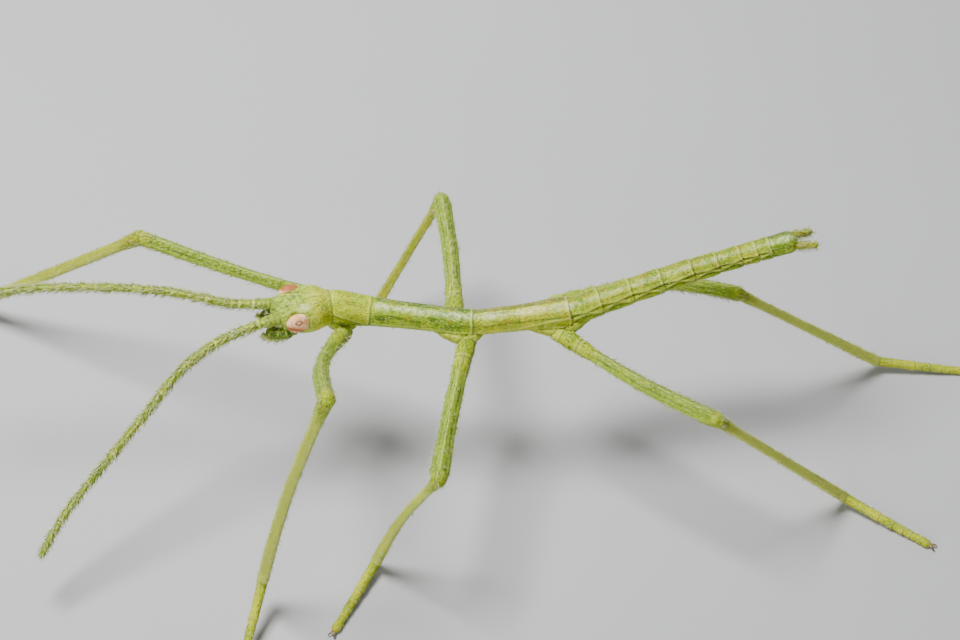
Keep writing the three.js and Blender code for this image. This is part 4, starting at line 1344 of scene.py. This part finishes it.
f.set(Base_Color=colour, Roughness=0.52 - 0.16 * f.mark("sheen") + 0.24 * (flecks - 0.5),
      Specular_IOR_Level=0.2, Subsurface_Weight=0.1, Subsurface_Radius=LIGHT_SCATTER,
      Subsurface_Scale=SCATTER_DEPTH)
f.raise_skin(0.4 * mottle + 0.5 * flecks + 0.2 * streaks + 0.25 * grain - 0.3 * specks, SKIN_BUMP)
f.cover(skin)

# %% [markdown]
# ## The eyes' finish
# Seen close, the eye is salmon pink with fine red veins and a pale rim. A small dark ring
# marks its middle; it is a painted pseudopupil, the dark spot an insect's eye shows toward
# the camera. A fainter rose ring runs halfway out, and a rust crescent lies low on the left
# eye. High on the right eye the same colour is painted shade, for the darker look of that
# eye at a grazing view. The rings follow the ring number kept at each point, and the
# crescent the number kept for it. Tiny facets show only as a faint bump.

# %% Eye finish
EYE_SALMON = (0.92, 0.38, 0.14)
EYE_PINK = (1.0, 0.7, 0.42)
EYE_VEIN = (0.6, 0.14, 0.03)
EYE_ROSE = (0.6, 0.2, 0.08)
EYE_PSEUDOPUPIL = (0.3, 0.1, 0.05)
EYE_CRESCENT = (0.36, 0.09, 0.008)
EYE_PALE_RIM = (0.95, 0.62, 0.34)
EYE_OUTLINE = (0.3, 0.2, 0.04)
FACET_BUMP = 0.012

f = Finish("eye_finish")
ring, rust_and_shade, lie = f.mark("ring"), f.mark("rust_and_shade"), f.lie()
cloud = f.noise(lie, 3.2, 5.0, 0.65)
veins = f.noise(lie, 8.0, 4.0, 0.65)
facets = f.node("TexVoronoi", {"feature": "F1"}, {"Vector": lie, "Scale": 15.0})
uneven_ring = ring + 0.3 * (cloud - 0.5)
crescent = rust_and_shade + 0.25 * (cloud - 0.5)
colour = f.paint(
    EYE_SALMON,
    (EYE_PINK, cloud.rise(0.42, 0.58)),
    (EYE_VEIN, veins.rise(0.52, 0.62) * 0.65),
    (EYE_ROSE, uneven_ring.band(0.34, 0.42, 0.44, 0.52) * 0.4),
    # The dark ring is a painted pseudopupil.
    (EYE_PSEUDOPUPIL, uneven_ring.band(0.06, 0.11, 0.17, 0.23) * 0.85),
    # The crescent is rust on the left eye and painted shade on the right one.
    (EYE_CRESCENT, crescent.band(0.42, 0.52, 0.82, 0.9) * 0.92),
    (EYE_PALE_RIM, uneven_ring.rise(0.74, 0.82) * (0.7 - 0.6 * rust_and_shade.rise(0.3, 0.5))),
    (EYE_OUTLINE, ring.rise(0.95, 1.03)),
)
f.set(Base_Color=colour, Roughness=0.38 + 0.3 * veins, Specular_IOR_Level=0.3, Coat_Weight=0.08,
      Coat_Roughness=0.2)
f.raise_skin(1 - facets, FACET_BUMP)
f.cover(*eyes)

# %% [markdown]
# ## The claws' finish
# A claw is amber where it leaves the foot and nearly black at its hooked point.

# %% Claw finish
CLAW_AMBER = (0.3, 0.2, 0.05)
CLAW_BLACK = (0.035, 0.02, 0.012)

f = Finish("claw_finish")
grain = f.noise(f.node("TexCoord", {}, {}, output="Object"), 9000.0, 2.0)
toward_tip = f.mark("tip") + 0.3 * (grain - 0.5)
f.set(Base_Color=f.blend(CLAW_AMBER, CLAW_BLACK, toward_tip.rise(0.25, 0.75)), Roughness=0.28 + 0.2 * grain)
f.cover(claw_piece)

# %% [markdown]
# ## Bristles
# Short bristles cover the insect, green at the root and pale at the tip. They are thickest on
# the feelers, the palps and the legs and finest on the back. Hair strands would be the quick
# way, but strands are lost when the model is exported, so each bristle is a thin, bent cone
# of real faces. Its root is chosen at random on a length of skin, and it leans towards the
# limb's tip.

# %% Bristle roots
shuffle = np.random.default_rng(7)


def roots(part, per_mm2, likely):
    """Random places on a length: point, normal, way along, way around, place and angle."""
    points = part["points"]
    along = np.gradient(points, axis=0)
    around = (np.roll(points, -1, axis=1) - np.roll(points, 1, axis=1)) / 2
    normal = np.cross(around, along)
    area = np.linalg.norm(normal, axis=-1)
    angle = np.broadcast_to(ring_angles(points.shape[1]), area.shape)
    place = part["lie"][..., 0]
    chance = area * likely(place, angle)
    chance[:2] = chance[-2:] = 0
    count = int(round(per_mm2 * chance.sum()))
    picked = shuffle.choice(area.size, size=count, p=(chance / chance.sum()).ravel())
    grids = [points, normal, along, around, place, angle]
    drawn = [grid.reshape(-1, *grid.shape[2:])[picked] for grid in grids]
    point, normal, along, around, place, angle = drawn
    slide = shuffle.uniform(-0.5, 0.5, (2, count, 1))
    point = point + slide[0] * along + slide[1] * around
    return point, unit(normal), unit(along), unit(around), place, angle


print("the same roots are drawn each time, from one seed")

# %% [markdown]
# A bristle has three small rings of three points and one point at the tip. All bristles of a
# piece share one picture space for the export, where each of them is a patch of its own:
# across it by its place on the limb, and up by the limb and the angle round it.

# %% Bristle cones
RING_LEVELS = [0.0, 0.35, 0.7]
RING_TURNS = np.radians([0, 120, 240])
CONE_POINTS = 10
CONE_TRIANGLES = 16
# In millimetres, degrees, or shares of a bristle's length.
ROOT_DEPTH = 0.04
FLOOR_GAP = 0.01
BEND = 0.22
TAPER = 0.72
LEAN_SPREAD = 9
SWAY_SPREAD = 0.22
TINT_SPREAD = 0.12
ATLAS_LENGTH = 40.0
PATCH = 0.003


def cone_faces():
    """The root, two rows of quads and three faces at the tip."""
    faces = [(0, 2, 1)]
    for level in (0, 3):
        for i, following in enumerate((1, 2, 0)):
            faces.append((level + i, level + following, level + 3 + following, level + 3 + i))
    return faces + [(6 + i, 6 + (i + 1) % 3, 9) for i in range(3)]


def bristle_patches(place, angle, row, rows):
    """The patch of each bristle in the picture space."""
    middles = np.stack([0.02 + 0.96 * place / ATLAS_LENGTH, (row + 0.1 + 0.8 * angle / 360) / rows], -1)
    spread = [((i % 3) - 1, i // 3 - 1.5) for i in range(CONE_POINTS)]
    return middles[:, None] + np.array(spread) * PATCH / 3


def anywhere(place, angle):
    """Every place is as likely as any other."""
    return 1.0


def bristle_cones(part, row, rows, per_mm2, size, lean, thick, likely=anywhere, tint=0.0):
    """Bent three-sided cones on one length of skin, with their patches and tints."""
    point, normal, along, around, place, angle = roots(part, per_mm2, likely)
    count = len(point)
    reach = shuffle.uniform(*size, (count, 1))
    tilt = np.radians(lean + shuffle.normal(0, LEAN_SPREAD, (count, 1)))
    sway = shuffle.normal(0, SWAY_SPREAD, (count, 1))
    way = unit(np.cos(tilt) * normal + np.sin(tilt) * along + sway * around)
    side_a = unit(np.cross(way, around + 0.3 * along))
    side_b = np.cross(way, side_a)
    root = point - ROOT_DEPTH * normal
    corners = []
    for level in RING_LEVELS:
        centre = root + reach * (level * way + BEND * level ** 2 * along)
        radius = thick * (1 - TAPER * level)
        for turn in RING_TURNS:
            corners.append(centre + radius * (math.cos(turn) * side_a + math.sin(turn) * side_b))
    corners.append(root + reach * (way + BEND * along))
    corners = np.stack(corners, axis=1)
    corners[..., 2] = np.maximum(corners[..., 2], FLOOR_GAP)
    shades = np.repeat(np.clip(tint + shuffle.normal(0, TINT_SPREAD, count), 0, 1), CONE_POINTS)
    return corners, bristle_patches(place, angle, row, rows), shades


def bristle_piece(name, jobs):
    """One mesh of bristles from a list of (length of skin, its settings)."""
    grown = [bristle_cones(part, row, len(jobs), **settings) for row, (part, settings) in enumerate(jobs)]
    points, patches, shades = [np.concatenate(kind) for kind in zip(*grown)]
    count = len(points)
    faces = [[CONE_POINTS * i + corner for corner in face] for i in range(count) for face in cone_faces()]
    piece = mesh_object(name, points, faces, MM)
    store(piece.data, "tint", shades)
    store(piece.data, "root", np.tile(np.repeat([*RING_LEVELS, 1.0], [3, 3, 3, 1]), count))
    corner_points = np.empty(len(piece.data.loops), dtype=np.int32)
    piece.data.loops.foreach_get("vertex_index", corner_points)
    layer = piece.data.uv_layers.new(name="OFBake")
    spots = patches.reshape(-1, 2)[corner_points]
    layer.data.foreach_set("uv", spots.astype(np.float32).ravel())
    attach(piece, "root")
    print(name, "bristles:", count, "triangles:", count * CONE_TRIANGLES)
    return piece


print("faces of one bristle:", len(cone_faces()))

# %% Where bristles grow
def on_edges(place, angle):
    """Most bristles stand in rows along the four keels."""
    return 0.2 + 1.2 * keels(angle, 16)


def on_flanks(place, angle):
    """Few stand on the middle of the back."""
    return 0.15 + ease(angle_from_top(angle), 35, 60)


def on_muzzle(place, angle):
    """Few stand behind the eyes."""
    return 0.15 + ease(-place, 1.9, 3.2)


def past_scape(place, angle):
    """A feeler's first joint has few."""
    return 0.25 + ease(place, 1.0, 3.5)


def off_sole(place, angle):
    """The underside of a foot has hardly any."""
    return 1 - 0.95 * hump(angle, UNDERSIDE, 60)


# How many to a square millimetre, their shortest and longest size in millimetres, their lean
# from upright in degrees, and their radius at the root. A higher tint is browner.
BRISTLES = {
    "feeler": {"per_mm2": 40, "size": (0.3, 0.56), "lean": 44, "thick": 0.028, "likely": past_scape},
    "cercus": {"per_mm2": 60, "size": (0.26, 0.46), "lean": 30, "thick": 0.024, "tint": 0.22},
    "trunk": {"per_mm2": 10, "size": (0.14, 0.3), "lean": 42, "thick": 0.016, "likely": on_flanks},
    "head": {"per_mm2": 11, "size": (0.12, 0.25), "lean": -40, "thick": 0.015, "likely": on_muzzle},
    "lip": {"per_mm2": 22, "size": (0.24, 0.44), "lean": -30, "thick": 0.024},
    "long_palp": {"per_mm2": 42, "size": (0.26, 0.46), "lean": 30, "thick": 0.026},
    "short_palp": {"per_mm2": 40, "size": (0.2, 0.34), "lean": 30, "thick": 0.022},
    "hip_collar": {"per_mm2": 12, "size": (0.16, 0.32), "lean": 45, "thick": 0.022},
    "thigh": {"per_mm2": 22, "size": (0.26, 0.54), "lean": 42, "thick": 0.023, "likely": on_edges},
    "shin": {"per_mm2": 22, "size": (0.2, 0.42), "lean": 42, "thick": 0.021, "likely": on_edges,
             "tint": 0.12},
    "foot": {"per_mm2": 22, "size": (0.16, 0.3), "lean": 50, "thick": 0.022, "likely": off_sole,
             "tint": 0.1},
}
print("kinds of bristle:", len(BRISTLES))

# %% Grow the bristles
by_name = {part["name"]: part for part in lengths}
hands = [mark for _, mark in SIDES]
# The kinds of length that each piece of bristles grows on, and the names after the kind.
coats = {
    "bristles_feelers": [("feeler", mark) for mark in hands],
    "bristles_tail": [("cercus", mark) for mark in hands],
    "bristles_body": [("trunk",), ("head",), ("lip",),
                      *[(kind, mark) for mark in hands for kind in ("long_palp", "short_palp")]],
}
for hand in hands:
    coats[f"bristles_legs_{hand}"] = [(kind, name) for name, *_ in STANCE if name.startswith(hand)
                                      for kind in ("hip_collar", "thigh", "shin", "foot")]
bristle_pieces = []
for name, coat in coats.items():
    jobs = [(by_name["_".join(words)], BRISTLES[words[0]]) for words in coat]
    bristle_pieces.append(bristle_piece(name, jobs))

# %% Bristle finish
BRISTLE_ROOT = (0.26, 0.35, 0.02)
BRISTLE_TIP = (0.72, 0.73, 0.42)
BRISTLE_BROWN = (0.2, 0.12, 0.03)

f = Finish("bristle_finish")
tint, root = f.mark("tint"), f.mark("root")
colour = f.paint(
    BRISTLE_ROOT,
    (BRISTLE_TIP, root.rise(0.15, 0.9)),
    (BRISTLE_BROWN, tint.rise(0.25, 0.8) * 0.85),
)
f.set(Base_Color=colour, Roughness=0.36 + 0.2 * root)
f.cover(*bristle_pieces)

# %% [markdown]
# ## The floor
# The insect stands on a plain pale floor, which isn't part of it. It is wide enough that no
# edge shows from any side, and very faintly clouded, so that it reads as a real surface.

# %% Floor
FLOOR_GREY = (0.41, 0.415, 0.42)
FLOOR_PALE_GREY = (0.45, 0.455, 0.455)

floor = mesh_object("floor", [(-1, -1, 0), (1, -1, 0), (1, 1, 0), (-1, 1, 0)], [[0, 1, 2, 3]])
f = Finish("floor_finish")
cloud = f.noise(f.node("TexCoord", {}, {}, output="Object"), 30.0, 4.0)
f.set(Base_Color=f.blend(FLOOR_GREY, FLOOR_PALE_GREY, cloud), Roughness=0.75 + 0.1 * cloud)
f.cover(floor)
